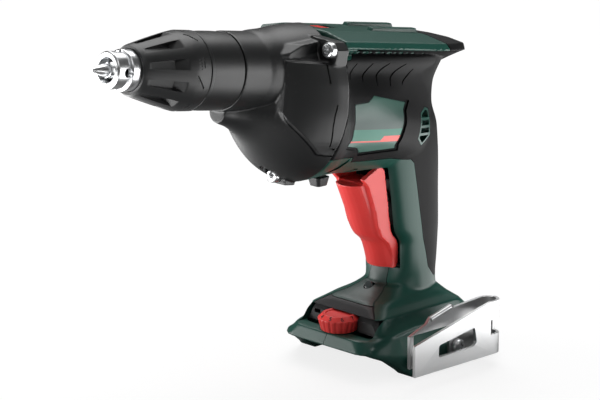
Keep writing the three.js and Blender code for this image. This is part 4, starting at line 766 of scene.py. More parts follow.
def lathe(name, profile, sides=96, drop_v=0.0, bevel=0.0):
    """A profile of s and radius, spun round the spindle axis by hand tools."""
    points = [Vector((s, 0.0, r)) for s, r in profile]
    edges = [(i, i + 1) for i in range(len(points) - 1)]
    mesh = bpy.data.meshes.new(name)
    mesh.from_pydata([tuple(p) for p in points], edges, [])
    obj = bpy.data.objects.new(name, mesh)
    bpy.context.scene.collection.objects.link(obj)
    active(obj)
    bpy.ops.object.mode_set(mode="EDIT")
    bpy.ops.mesh.select_all(action="SELECT")
    bpy.ops.mesh.spin(steps=sides, angle=2 * math.pi, center=(0, 0, 0), axis=(1, 0, 0))
    bpy.ops.mesh.select_all(action="SELECT")
    bpy.ops.mesh.remove_doubles(threshold=MERGE)
    bpy.ops.mesh.normals_make_consistent(inside=False)
    bpy.ops.object.mode_set(mode="OBJECT")
    if drop_v:
        transform(obj, Matrix.Translation((0, 0, -drop_v)))
    if bevel:
        use(obj, "BEVEL", width=bevel, segments=3, limit_method="ANGLE", angle_limit=0.5)
    return obj


def hex_bar(name, start, end, radius):
    return rod(name, (start, 0, 0), (end, 0, 0), radius, 6)


def lobed_screw(name, start, head, height, shank, length):
    """A screw with a rounded head and a six-lobe socket, drawn along s."""
    top = height * 0.35
    profile = [(start, 0), (start, head * 0.72), (start + top * 0.35, head * 0.9),
               (start + top, head), (start + height, head), (start + height, shank),
               (start + height + length - shank * 0.5, shank),
               (start + height + length, shank * 0.5), (start + height + length, 0)]
    obj = lathe(name, profile, 48, bevel=0.00015)
    outline = []
    for k in range(48):
        angle = k / 48 * 2 * math.pi
        r = SOCKET_R * (0.86 + 0.14 * math.cos(6 * angle))
        outline.append((r * math.cos(angle), r * math.sin(angle)))
    return cut(obj, front_prism("socket", outline, start - 0.001, start + SOCKET_DEPTH))


SOCKET_R = 0.0019
SOCKET_DEPTH = 0.0015
CONE = [(0.0813, 0.01796), (0.0843, 0.0186), (0.0914, 0.0194), (0.1008, 0.021), (0.1076, 0.0218),
        (0.1154, 0.0223)]
SPIGOT = 0.051
SPIGOT_R = 0.0134
NECK_R = 0.01796
NECK = (0.0661, 0.0813)
EGG_START = 0.43
HOUSING_END = 0.1154
DRUM_START = 0.0674
DRUM_R = 0.0323
DRUM_DROP = 0.0184
DRUM_SHARES = [
    (0, 0.1548), (0.0542, 0.1827), (0.1167, 0.2074), (0.1792, 0.2446), (0.2625, 0.3096),
    (0.3458, 0.4025), (0.4292, 0.5108), (0.5125, 0.6192), (0.5958, 0.7214), (0.6792, 0.8142),
    (0.7625, 0.8916), (0.8458, 0.9474), (0.9292, 0.9814), (1, 1),
]
CHEEK_INNER = 0.012
CHEEK_TOP = 0.0074
CHEEK_BOTTOM = -0.0345
CHEEK_HALF = 0.0348
CHEEK_RUN = [(0.0870, 0.0184), (0.0887, 0.0197), (0.0925, 0.0232), (0.0980, 0.0273),
             (0.1040, 0.0308), (0.1100, 0.0334), (0.1154, 0.0348)]
CHEEK_SIDE = [(0.0887, 0.0074), (0.1154, 0.0074), (0.1154, -0.0345), (0.1068, -0.0340),
              (0.0905, -0.0190), (0.0887, -0.0160)]
CHEEK_FACE = [(0.8678, 0), (0.97, 0.25), (1, 0.5), (0.93, 0.8), (0.80, 1)]
LUG_HALF = 0.031
LUG_TOP = 0.0184
LUG_FACE = 0.108
LUG_START = 0.0875
LUG_SHARES = [(0.3871, 1), (0.8871, 0.95), (0.9968, 0.76), (0.9742, 0.3978), (0.3871, 0.3978)]
LUG_SHOULDER = [(0.3226, 0.7527), (0.5484, 0.5376), (0.5484, 0.4839), (0.5419, 0.4301),
                (0.3226, 0.4301)]
LUG_POCKET = (0.0079, 0.0167)
LUG_INNER = 0.0185
RIGHT_DROP = 0.0024
LOW_LUG_HALF = 0.006
LOW_LUG_BOTTOM = -0.0518
LOW_LUG_FRONT = 0.109
LOW_SCREW = -0.0478
SCREW_SIDE = 0.027
SCREW_HEIGHT = 0.0136
SCREW_FACE = 0.1048
LOW_SCREW_FACE = 0.1055
HOLE_END = 0.117
HOLE_R = 0.0021
CHANNEL_START = 0.086
CHANNEL_R = 0.0042
SLITS = [
    [(0.1048, 0.0075), (0.1054, 0.0031), (0.1060, -0.0011)],
    [(0.1096, -0.0102), (0.1088, -0.0152), (0.1090, -0.0204), (0.1099, -0.0252),
     (0.1107, -0.0303), (0.1142, -0.0312)],
]
CHEEK_LINE = [(0.0887, 0.0050), (0.0887, -0.0160), (0.0905, -0.0190), (0.1068, -0.0340),
              (0.1154, -0.0345)]
SLIT_WIDTH = 0.0008
CHEEK_LINE_WIDTH = 0.0006
CASE_VOXEL = 0.00048
SEAL_GROOVE = [(0.0579, 0.0122), (0.0597, 0.0122), (0.0597, 0.015), (0.0579, 0.015),
               (0.0579, 0.0122)]
# Bores of the gear case: start, end, height over the spindle axis, radius, sides
CASE_BORES = [
    (0.050, HOUSING_END, 0, 0.0055, 64), (0.055, 0.0873, 0, 0.0098, 64),
    (0.087, HOLE_END, 0, 0.0166, 64), (0.087, 0.1068, -DRUM_DROP, 0.008, 64),
    (0.1065, HOLE_END, -DRUM_DROP, 0.0265, 96),
]
# Screws: radius and height of the head, radius and length of the shank
CASE_SCREW = (0.0036, 0.0032, 0.0018, 0.0098)
SHELL_SCREW = (SCREW_HEAD, 0.0026, 0.0015, 0.0154)
HOOK_SCREW = (SCREW_HEAD, 0.0026, 0.0015, 0.0054)


def drum_radius():
    xs = [mix(DRUM_START, HOUSING_END, a) for a, r in DRUM_SHARES]
    return curve(xs, [DRUM_R * r for a, r in DRUM_SHARES])


def cone_radius():
    return curve([p[0] for p in CONE], [p[1] for p in CONE])


def eggs():
    """The drum and the cone over it in one egg-shaped section."""
    drum, cone = drum_radius(), cone_radius()
    rings = []
    for k in range(33):
        s = mix(mix(DRUM_START, HOUSING_END, EGG_START), HOUSING_END, k / 32)
        c, d = cone(max(s, CONE[0][0])), drum(s)
        spread = math.asin(max(-1, min(1, (d - c) / DRUM_DROP)))
        ring = []
        for i in range(96):
            angle = i / 96 * 2 * math.pi
            y, v = math.sin(angle), math.cos(angle)
            if v > math.sin(spread):
                ring.append(Vector((s, y * c, v * c)))
            else:
                ring.append(Vector((s, y * d, v * d - DRUM_DROP)))
        rings.append(ring)
    return loft("eggs", rings)


def cheek(side):
    bulge = curve([v for y, v in CHEEK_FACE], [y for y, v in CHEEK_FACE])
    steps = [k / 24 for k in range(25)]
    start = CHEEK_RUN[0][0]

    def face(s, reach):
        share = (s - start) / (HOUSING_END - start)
        outer = [(reach - CHEEK_HALF * (1 - bulge(v)) * share, mix(CHEEK_TOP, CHEEK_BOTTOM, v))
                 for v in steps]
        ring = [(CHEEK_INNER, CHEEK_TOP)] + outer + [(CHEEK_INNER, CHEEK_BOTTOM)]
        return [Vector((s, side * y, v)) for y, v in ring]

    rows = stations([list(row) for row in CHEEK_RUN], 24)
    shape = loft("cheek", [face(s, reach) for s, reach in rows])
    return common(shape, side_prism("side", CHEEK_SIDE, -0.04, 0.04))


def lug(side):
    rim = [(side * y * LUG_HALF, v * LUG_TOP) for y, v in LUG_SHARES]
    start = [(side * y * LUG_HALF, v * LUG_TOP) for y, v in LUG_SHOULDER]
    ramp = loft("ramp", [[Vector((LUG_START, y, v)) for y, v in start],
                         [Vector((HOUSING_END - GAP, y, v)) for y, v in rim]])
    shape = add(ramp, front_prism("block", rim, LUG_FACE, HOUSING_END))
    reach = LUG_HALF + 0.002
    ys = sorted((side * LUG_INNER, side * reach))
    shape = cut(shape, box("pocket", (LUG_START - 0.004, LUG_FACE), ys, LUG_POCKET))
    ys = sorted((side * SCREW_SIDE, side * reach))
    heights = (LUG_POCKET[0], LUG_TOP + 0.001)
    shape = cut(shape, box("open", (LUG_START - 0.004, LUG_FACE), ys, heights))
    if side > 0:
        transform(shape, Matrix.Translation((0, 0, -RIGHT_DROP)))
    return shape


def screw_rows():
    """Side, height and the head's face of the three case screws."""
    return [(-SCREW_SIDE, SCREW_HEIGHT, SCREW_FACE),
            (SCREW_SIDE, SCREW_HEIGHT - RIGHT_DROP, SCREW_FACE), (0.0, LOW_SCREW, LOW_SCREW_FACE)]


def gear_case():
    drum, cone = drum_radius(), cone_radius()
    steps = [k / 40 for k in range(41)]
    stem = [(SPIGOT, 0), (SPIGOT, SPIGOT_R), (NECK[0], SPIGOT_R), (NECK[0], NECK_R)]
    stem += [(mix(NECK[1], HOUSING_END, t), cone(mix(NECK[1], HOUSING_END, t))) for t in steps]
    stem += [(HOUSING_END, 0)]
    round_part = [(DRUM_START, 0)]
    round_part += [(mix(DRUM_START, HOUSING_END, t), drum(mix(DRUM_START, HOUSING_END, t)))
                   for t in steps]
    round_part += [(HOUSING_END, 0)]
    low = box("low", (LOW_LUG_FRONT, HOUSING_END), (-LOW_LUG_HALF, LOW_LUG_HALF),
              (LOW_LUG_BOTTOM, LOW_SCREW + LOW_LUG_HALF))
    parts = [lathe("stem", stem, 144), lathe("drum", round_part, 144, DRUM_DROP), eggs(),
             cheek(1), cheek(-1), lug(1), lug(-1), low]
    shape = remesh(merged("gear_case", *parts), CASE_VOXEL, 2)
    flat = box("flat", (HOUSING_END - 0.0002, 0.13), (-FAR, FAR), (-0.07, 0.04))
    shape = cut(shape, flat)
    inner = remesh(copy(shape, "inner"), 0.0009, 0)
    use(inner, "DISPLACE", strength=-0.0006, mid_level=0.0)
    for side in (-1, 1):
        for line in SLITS:
            slit = side_prism("slit", mitered(line, SLIT_WIDTH), side * 0.02, side * REACH)
            shape = cut(shape, cut(slit, copy(inner, "i1")))
        outline = mitered(CHEEK_LINE, CHEEK_LINE_WIDTH)
        edge = side_prism("edge", outline, side * 0.02, side * REACH)
        shape = cut(shape, cut(edge, copy(inner, "i2")))
    drop(inner)
    shape = cut(shape, lathe("groove", SEAL_GROOVE, 96))
    for start, end, v, radius, sides in CASE_BORES:
        shape = cut(shape, rod("bore", (start, 0, v), (end, 0, v), radius, sides))
    for y, v, start in screw_rows():
        shape = cut(shape, rod("hole", (start, y, v), (HOLE_END, y, v), HOLE_R, 32))
    y, v, start = screw_rows()[2]
    channel = rod("channel", (CHANNEL_START, y, v), (start + CASE_SCREW[1], y, v), CHANNEL_R)
    return tilted(cut(shape, channel))


SLEEVE = 0.046
SLEEVE_HOLE = 0.0056
SLEEVE_HOLE_R = 0.0021
# Profiles round the spindle axis: s and radius
SLEEVE_PROFILE = [
    (0, 0.0057), (0, 0.00755), (0.0007, 0.00825), (0.0063, 0.00825), (0.0063, 0.0077),
    (0.0072, 0.0077), (0.0072, 0.0085), (0.0079, 0.0092), (SLEEVE, 0.0092), (SLEEVE, 0.0057),
    (0, 0.0057),
]
CARRIER_PROFILE = [
    (0.0389, 0.0095), (0.0389, 0.0144), (0.0457, 0.0144), (0.0457, 0.0176), (0.046, 0.01785),
    (0.0473, 0.01785), (0.0476, 0.0175), (0.0535, 0.0177), (0.0600, 0.0177), (0.0655, 0.0175),
    (0.0658, 0.0172), (0.0658, 0.0137), (0.0507, 0.0137), (0.0507, 0.0095), (0.0389, 0.0095),
]
BIT_PROFILE = [
    (-0.0082, 0), (-0.0082, 0.0007), (-0.0078, 0.0010), (-0.0012, 0.0029), (0.0005, 0.0029),
    (0.0005, 0),
]
BIT_CORNERS = ((-0.0085, 0.0004), (-0.0022, 0.0031))
BIT_TURN = 0.35
# Hexagons: start, end, radius to the corners
BIT_SHANK = (0.0002, 0.0168, 0.00367)
BIT_SOCKET = (0.0045, 0.0178, 0.00397)
HOLDER_PROFILE = [
    (0.0055, 0), (0.0055, 0.0041), (0.0061, 0.0047), (0.0435, 0.0047), (0.0435, 0.004),
    (0.0616, 0.004), (0.0616, 0.0084), (0.0642, 0.0084), (0.0642, 0.004), (0.1082, 0.004),
    (0.1082, 0),
]
SEAL_PROFILE = [
    (0.05815, 0.0126), (0.05945, 0.0126), (0.05945, 0.0131), (0.0592, 0.0134), (0.0584, 0.0134),
    (0.05815, 0.0131), (0.05815, 0.0126),
]
RING_FRONT = 0.0124
RING_SHOULDER = 0.038
RING_END = 0.0454
RING_R = 0.0179
RING_NOSE_R = 0.0116
RING_BORE = 0.0095
RING_MOUTH = 0.0149
FLUTES = 10
# Flutes of the ring: s, width, depth of the floor under the ring's cone
FLUTE_ROWS = [
    (0.0135, 0.0016, 0.0004), (0.016, 0.0028, -0.0008), (0.0285, 0.0044, -0.0028),
    (0.0290, 0.0045, -0.0028), (0.0335, 0.0048, 0.0005),
]
FLUTE_FLARE = 0.0006
FLUTE_HIGH = 0.024
MARK_PLACE = 0.0405
MARK_ABOVE = 0.002
MARK_TURN = 0.02
BARS = 4
BAR_STEP = 0.075
ROW_LENGTH = 9
ROW_START = -0.0032
ROW_RISE = 0.00052
ROW_TURN = 0.30
ROW_STEP = 0.035


def stop_sleeve():
    obj = lathe("stop_sleeve", SLEEVE_PROFILE, 128, bevel=0.00018)
    for y, v in ((0, 0.02), (0.02, 0)):
        obj = cut(obj, rod("hole", (SLEEVE_HOLE, -y, -v), (SLEEVE_HOLE, y, v), SLEEVE_HOLE_R))
    return tilted(obj)


def flute(turn):
    rings = []
    for s, width, depth in FLUTE_ROWS:
        along = (s - RING_FRONT) / (RING_SHOULDER - RING_FRONT)
        floor = mix(RING_NOSE_R, RING_R, along) + depth
        wide = width / 2 + FLUTE_FLARE
        section = [(-width / 2, floor), (width / 2, floor), (wide, FLUTE_HIGH), (-wide, FLUTE_HIGH)]
        rings.append([Vector((s, y, v)) for y, v in section])
    return transform(loft("flute", rings), Matrix.Rotation(turn, 4, "X"))


def mark(s0, s1, y0, y1, depth, turn):
    """A small block that cuts one mark into the ring, turned round its axis."""
    block = box("mark", (MARK_PLACE + s0, MARK_PLACE + s1), (y0, y1),
                (RING_R - depth, RING_R + MARK_ABOVE))
    return transform(block, Matrix.Rotation(turn, 4, "X"))


def depth_marks(obj, turns):
    """Small cut bars, a line, a tick and a slanting row round the ring: plain depth marks."""
    for turn in turns:
        for k in range(BARS):
            angle = turn + (k - (BARS - 1) / 2) * BAR_STEP
            obj = cut(obj, mark(-0.0022, -0.0006, -0.00025, 0.00025, 0.0003, angle))
        obj = cut(obj, mark(0.0006, 0.0010, -0.0016, 0.0016, 0.0004, turn))
        obj = cut(obj, mark(0.0002, 0.0010, 0.0026, 0.0030, 0.0004, turn))
        for k in range(ROW_LENGTH):
            s = ROW_START + k * ROW_RISE
            angle = turn + ROW_TURN + k * ROW_STEP
            obj = cut(obj, mark(s, s + 0.0007, -0.0005, 0.0005, 0.0006, angle))
    return obj


def depth_ring():
    swell = [(RING_FRONT + 0.0016, RING_NOSE_R)]
    swell += [(mix(RING_FRONT + 0.0016, RING_SHOULDER + 0.001, t),
               mix(RING_NOSE_R, RING_R, 1 - (1 - t) ** 1.12))
              for t in (0.2, 0.4, 0.6, 0.8, 0.9, 1.0)]
    profile = [(RING_FRONT, RING_BORE), (RING_FRONT, RING_NOSE_R - 0.0009)] + swell
    profile += [(RING_END - 0.0003, RING_R), (RING_END, RING_R - 0.0003), (RING_END, RING_MOUTH),
                (0.0384, RING_MOUTH), (0.0384, RING_BORE), (RING_FRONT, RING_BORE)]
    obj = lathe("depth_ring", profile, 160)
    turns = [k * 2 * math.pi / FLUTES for k in range(FLUTES)]
    for turn in turns:
        obj = cut(obj, flute(turn))
    obj = depth_marks(obj, [turn + MARK_TURN for turn in turns[::2]])
    use(obj, "BEVEL", width=0.00022, segments=2, limit_method="ANGLE", angle_limit=0.6)
    return tilted(obj)


def carrier():
    return tilted(lathe("carrier", CARRIER_PROFILE, 160, bevel=0.0001))


def bit():
    neck = lathe("bit", BIT_PROFILE, 48)
    shank = hex_bar("shank", *BIT_SHANK)
    use(shank, "BEVEL", width=0.0003, segments=2)
    obj = add(neck, shank)
    for k in range(4):
        rings = []
        for s, near in BIT_CORNERS:
            far = near + 0.004
            rings.append([Vector((s, near, near)), Vector((s, far, near)), Vector((s, far, far)),
                          Vector((s, near, far))])
        turn = Matrix.Rotation(k * math.pi / 2 + BIT_TURN, 4, "X")
        obj = cut(obj, transform(loft("corner", rings), turn))
    return tilted(obj)


def holder():
    obj = lathe("holder", HOLDER_PROFILE, 64, bevel=0.0002)
    obj = cut(obj, hex_bar("socket", *BIT_SOCKET))
    return tilted(obj)


def seal():
    return tilted(lathe("seal", SEAL_PROFILE, 96))


def gear_screws():
    rows = []
    for k, (y, v, start) in enumerate(screw_rows()):
        screw = lobed_screw("case_screw_%d" % (k + 1), start, *CASE_SCREW)
        rows.append(tilted(transform(screw, Matrix.Translation((0, y, v)))))
    return rows


def shell_screws():
    rows = []
    for k, (x, y, z) in enumerate(SCREW_PLACES):
        screw = lobed_screw("housing_screw_%d" % (k + 1), 0, *SHELL_SCREW)
        turn = Matrix.Rotation(-math.pi / 2, 4, "Z")
        rows.append(transform(screw, Matrix.Translation((x, y + 0.0029, z)) @ turn))
    return rows


TRIGGER_ROWS = [
    (0.0316, -0.0172, -0.0091), (0.0445, -0.0219, -0.0137), (0.0491, -0.0269, -0.0167),
    (0.062, -0.0326, -0.0167), (0.075, -0.0384, -0.0167),
]
TRIGGER_HALF = 0.0084
TRIGGER_NOSE = [(0, 0), (0.04, 0.28), (0.16, 0.56), (0.38, 0.84), (0.6, 0.96), (0.88, 1)]
PLATE_ROWS = [
    (0.0314, -0.0129, -0.0105, 0.009), (0.0346, -0.0129, -0.0089, 0.009),
    (0.0438, -0.0163, -0.0102, 0.010), (0.049, -0.0217, -0.0144, 0.0103),
    (0.0663, -0.0277, -0.0182, 0.011), (0.0756, -0.0313, -0.0196, 0.011),
]
EAR = [(-0.0345, 0.0783), (-0.0309, 0.0748), (-0.0196, 0.0748), (-0.0203, 0.0805),
       (-0.0225, 0.083), (-0.024, 0.083)]
EAR_RUN = (0.0081, 0.011)
TRIGGER_STEM = ((-0.024, 0, 0.064), (-0.008, 0, 0.064), 0.0026)
TRIGGER_VOXEL = 0.00042
DIAL_X = -0.0392
DIAL_LOW = 0.005
DIAL_BORE = 0.0113
DIAL_BORE_R = 0.0025
KNURLS = 20
# Rings of the dial, upwards: radius, height over its foot, depth of the knurls
DIAL_RINGS = [
    (0.0084, 0.0, 0.0002), (0.0088, 0.0004, 0.0003), (0.0101, 0.0052, 0.0004),
    (0.0102, 0.0057, 0.0003), (0.01, 0.0061, 0.0), (0.008, 0.0079, 0.0),
    (0.0077, 0.00796, 0.0), (0.0067, 0.0078, 0.0), (0.0064, 0.0074, 0.0),
]
DIGITS = 10
DIGIT_SIZE = 0.0031
DIGIT_HEIGHT = 0.00006
DIGIT_PLACE = (0.00905, 0.00705)
DIGIT_LEAN = 0.95 * math.atan2(0.0021, 0.0018)
HOOK_INNER = -0.0384
HOOK_OUTER = -0.0508
HOOK_SHEET = 0.0016
HOOK_FRONT = -0.040
HOOK_START = -0.036
HOOK_BEND = 0.0145
HOOK_RISE = (-0.0074, 0.0185)
HOOK_INNER_SHARES = [(0.07, 0), (0.07, 0.6), (0.29, 0.75), (0.34, 0.86), (0.62, 1), (0.66, 0.93),
                     (1.2, 1), (1.2, 0)]
HOOK_OUTER_SHARES = [(-0.1, 0), (-0.1, 0.5), (0, 0.58), (0.92, 1), (1.2, 1), (1.2, 0.68),
                     (0.94, 0.66), (0.94, 0.38), (1.2, 0.36), (1.2, 0)]
HOOK_WINDOW = [(0.29, 0.475), (0.738, 0.617), (0.766, 0.314), (0.72, 0.254), (0.29, 0.242)]
HOOK_SHUT = ((-0.030, -0.0056), (-0.0056, 0.0085))
HOOK_HOLE = (-0.001, -0.0025)
LIP_R = 0.0012
# Ends of the hook's rolled lip: shares along and up, and the drop under that place
HOOK_LIP = ((0.345, 0.86, 0.0009), (0.615, 1.0, LIP_R))


def trigger():
    rows = []
    for z, front, back in stations([list(r) for r in TRIGGER_ROWS], 40):
        half = [(front + x * TRIGGER_HALF, y * TRIGGER_HALF) for x, y in TRIGGER_NOSE]
        half += [(back, TRIGGER_HALF), (back, 0)]
        rows.append([Vector((x, y, z)) for x, y in mirrored(half)])
    blade = loft("blade", rows)
    rows = []
    for z, front, rear, across in stations([list(r) for r in PLATE_ROWS], 40):
        rows.append([Vector((front, -across, z)), Vector((rear, -across, z)),
                     Vector((rear, across, z)), Vector((front, across, z))])
    plate = loft("plate", rows)
    ears = [side_prism("ear", EAR, side * EAR_RUN[0], side * EAR_RUN[1]) for side in (1, -1)]
    stem = rod("stem", *TRIGGER_STEM)
    return remesh(merged("trigger_key", blade, plate, stem, *ears), TRIGGER_VOXEL, 4)


def knurled_ring(radius, z, depth):
    ring = []
    for k in range(KNURLS * 8):
        angle = k / (KNURLS * 8) * 2 * math.pi
        wave = max(0.0, math.cos(angle * KNURLS)) ** 0.6
        out = radius - depth * wave
        ring.append(Vector((DIAL_X + math.cos(angle) * out, math.sin(angle) * out, z)))
    return ring


def dial():
    rings = [knurled_ring(radius, DIAL_LOW + rise, depth) for radius, rise, depth in DIAL_RINGS]
    obj = loft("setting_dial", rings)
    bore = rod("bore", (DIAL_X, 0, 0), (DIAL_X, 0, DIAL_BORE), DIAL_BORE_R)
    return cut(obj, bore)


def dial_digits():
    rows = []
    for k in range(DIGITS):
        bpy.ops.object.text_add()
        text = bpy.context.active_object
        text.data.body = str(k)
        text.data.size = DIGIT_SIZE
        text.data.align_x = "CENTER"
        text.data.align_y = "CENTER"
        text.data.extrude = DIGIT_HEIGHT
        text.data.resolution_u = 3
        bpy.ops.object.convert(target="MESH")
        obj = bpy.context.active_object
        turn = math.pi + (k - (DIGITS - 1) / 2) * 2 * math.pi / DIGITS
        place = Matrix.Translation((DIAL_X, 0, 0))
        spin = Matrix.Rotation(turn, 4, "Z")
        out = Matrix.Translation((DIGIT_PLACE[0], 0, DIAL_LOW + DIGIT_PLACE[1]))
        lean = Matrix.Rotation(DIGIT_LEAN, 4, "Y") @ Matrix.Rotation(math.pi / 2, 4, "Z")
        transform(obj, place @ spin @ out @ lean)
        rows.append(obj)
    return merged("dial_digits", *rows)


def merged_copy(node, name, flatten=False):
    """A copy of a CAD node with its points merged."""
    obj = copy(frame["nodes"][node], name)
    obj.parent = None
    bpy.ops.object.mode_set(mode="EDIT")
    bpy.ops.mesh.select_all(action="SELECT")
    bpy.ops.mesh.remove_doubles(threshold=MERGE)
    if flatten:
        bpy.ops.mesh.dissolve_limited(angle_limit=0.01)
    bpy.ops.mesh.customdata_custom_splitnormals_clear()
    bpy.ops.object.mode_set(mode="OBJECT")
    return obj


def refined(node, name, width):
    """A merged copy of a CAD node with rounded edges."""
    obj = merged_copy(node, name, True)
    obj.data.materials.clear()
    return use(obj, "BEVEL", width=width, segments=3, limit_method="ANGLE", angle_limit=0.6)


def hook():
    inner, outer = HOOK_INNER, HOOK_OUTER
    radius = (inner - outer) / 2
    middle = (inner + outer) / 2

    def bend(size):
        return [(HOOK_BEND + math.sin(a) * size, middle + math.cos(a) * size)
                for a in [k / 24 * math.pi for k in range(25)]]

    outline = [(HOOK_FRONT, inner)] + bend(radius) + [(HOOK_FRONT, outer),
               (HOOK_FRONT, outer + HOOK_SHEET)]
    outline += bend(radius - HOOK_SHEET)[::-1] + [(HOOK_FRONT, inner - HOOK_SHEET)]
    strip = loft("strip", [[Vector((x, y, z)) for x, y in outline] for z in HOOK_RISE])
    shares = placed(HOOK_INNER_SHARES, (HOOK_START, HOOK_BEND), HOOK_RISE)
    keep = side_prism("keep", shares, middle, inner + 0.001)
    shares = placed(HOOK_OUTER_SHARES, (HOOK_FRONT, HOOK_BEND), HOOK_RISE)
    keep = add(keep, side_prism("keep2", shares, outer - 0.001, middle + GAP))
    obj = common(strip, keep)
    shares = placed(HOOK_WINDOW, (HOOK_FRONT, HOOK_BEND), HOOK_RISE)
    window = side_prism("window", shares, outer - 0.001, middle)
    use(window, "BEVEL", width=0.0012, segments=4, limit_method="ANGLE", angle_limit=0.3)
    shut = box("shut", HOOK_SHUT[0], (middle, inner + 0.001), HOOK_SHUT[1])
    x, z = HOOK_HOLE
    hole = rod("hole", (x, middle, z), (x, inner + 0.001, z), 0.0018)
    obj = cut(obj, window, shut, hole)
    ends = [Vector((mix(HOOK_START, HOOK_BEND, along), inner - LIP_R, mix(*HOOK_RISE, up) - drop_z))
            for along, up, drop_z in HOOK_LIP]
    obj = add(obj, rod("lip", *ends, LIP_R, 32))
    obj.name = "hook_sheet"
    use(obj, "BEVEL", width=0.0003, segments=3, limit_method="ANGLE", angle_limit=0.6)
    return obj


def hook_screw():
    screw = lobed_screw("hook_bolt", 0, *HOOK_SCREW)
    turn = Matrix.Rotation(math.pi / 2, 4, "Z")
    y = HOOK_INNER - HOOK_SHEET - GAP - 0.0026
    return transform(screw, Matrix.Translation((HOOK_HOLE[0], y, HOOK_HOLE[1])) @ turn)


def lens():
    way = Vector((-1, 0, LENS_LEAN)).normalized()
    middle = Vector((LENS_X, 0, LENS_Z))
    obj = rod("lamp_window", middle - way * 0.0016, middle - way * 0.0002, LENS_R, 48)
    return use(obj, "BEVEL", width=0.0007, segments=4, limit_method="ANGLE")


# ---- surfaces -------------------------------------------------------------------------------

def node(tree, kind, **values):
    item = tree.nodes.new(kind)
    for key, value in values.items():
        if key in item.inputs:
            item.inputs[key].default_value = value
        else:
            setattr(item, key, value)
    return item


def surface(name, color, rough, metal=0.0, grain=900.0, bump=0.12, wear_and_edge_highlight=0.25, vary=0.12,
            stretch=(1, 1, 1), extra=None, coat=0.0, tilt=0.0, shine=0.5):
    mat = bpy.data.materials.new(name)
    mat.use_nodes = True
    tree = mat.node_tree
    shader = tree.nodes["Principled BSDF"]
    shader.inputs["Metallic"].default_value = metal
    shader.inputs["Coat Weight"].default_value = coat
    shader.inputs["Coat Roughness"].default_value = 0.25
    shader.inputs["Specular IOR Level"].default_value = shine
    link = tree.links.new
    coords = node(tree, "ShaderNodeTexCoord")
    place = node(tree, "ShaderNodeMapping")
    place.inputs["Scale"].default_value = stretch
    place.inputs["Rotation"].default_value = (0, tilt, 0)
    link(coords.outputs["Object"], place.inputs["Vector"])
    big = node(tree, "ShaderNodeTexNoise", Scale=38.0, Detail=4.0)
    fine = node(tree, "ShaderNodeTexNoise", Scale=grain, Detail=3.0)
    for tex in (big, fine):
        link(place.outputs["Vector"], tex.inputs["Vector"])
    shade = node(tree, "ShaderNodeMapRange")
    shade.inputs["From Min"].default_value = 0.3
    shade.inputs["From Max"].default_value = 0.7
    shade.inputs["To Min"].default_value = 1 - vary
    shade.inputs["To Max"].default_value = 1 + vary
    link(big.outputs["Fac"], shade.inputs["Value"])
    tone = node(tree, "ShaderNodeMix", data_type="RGBA", blend_type="MULTIPLY")
    tone.inputs["Factor"].default_value = 1.0
    if extra:
        link(extra(tree, coords), tone.inputs["A"])
    else:
        tone.inputs["A"].default_value = (*color, 1)
    link(shade.outputs["Result"], tone.inputs["B"])
    # Convex edges, found by pointiness, are mixed towards a lighter colour: partly edge wear,
    # partly a painted highlight along the edges.
    geo = node(tree, "ShaderNodeNewGeometry")
    edge = node(tree, "ShaderNodeMapRange")
    edge.inputs["From Min"].default_value = 0.52
    edge.inputs["From Max"].default_value = 0.62
    edge.inputs["To Max"].default_value = wear_and_edge_highlight
    link(geo.outputs["Pointiness"], edge.inputs["Value"])
    worn_and_highlit = node(tree, "ShaderNodeMix", data_type="RGBA", blend_type="MIX")
    worn_and_highlit.inputs["B"].default_value = (*[min(1, c * 1.6 + 0.04) for c in color], 1)
    link(edge.outputs["Result"], worn_and_highlit.inputs["Factor"])
    link(tone.outputs["Result"], worn_and_highlit.inputs["A"])
    link(worn_and_highlit.outputs["Result"], shader.inputs["Base Color"])
    gloss = node(tree, "ShaderNodeMapRange")
    gloss.inputs["To Min"].default_value = max(0.03, rough - 0.07)
    gloss.inputs["To Max"].default_value = rough + 0.07
    link(fine.outputs["Fac"], gloss.inputs["Value"])
    link(gloss.outputs["Result"], shader.inputs["Roughness"])
    relief = node(tree, "ShaderNodeBump", Strength=bump, Distance=0.0001)
    link(fine.outputs["Fac"], relief.inputs["Height"])
    link(relief.outputs["Normal"], shader.inputs["Normal"])
    return mat


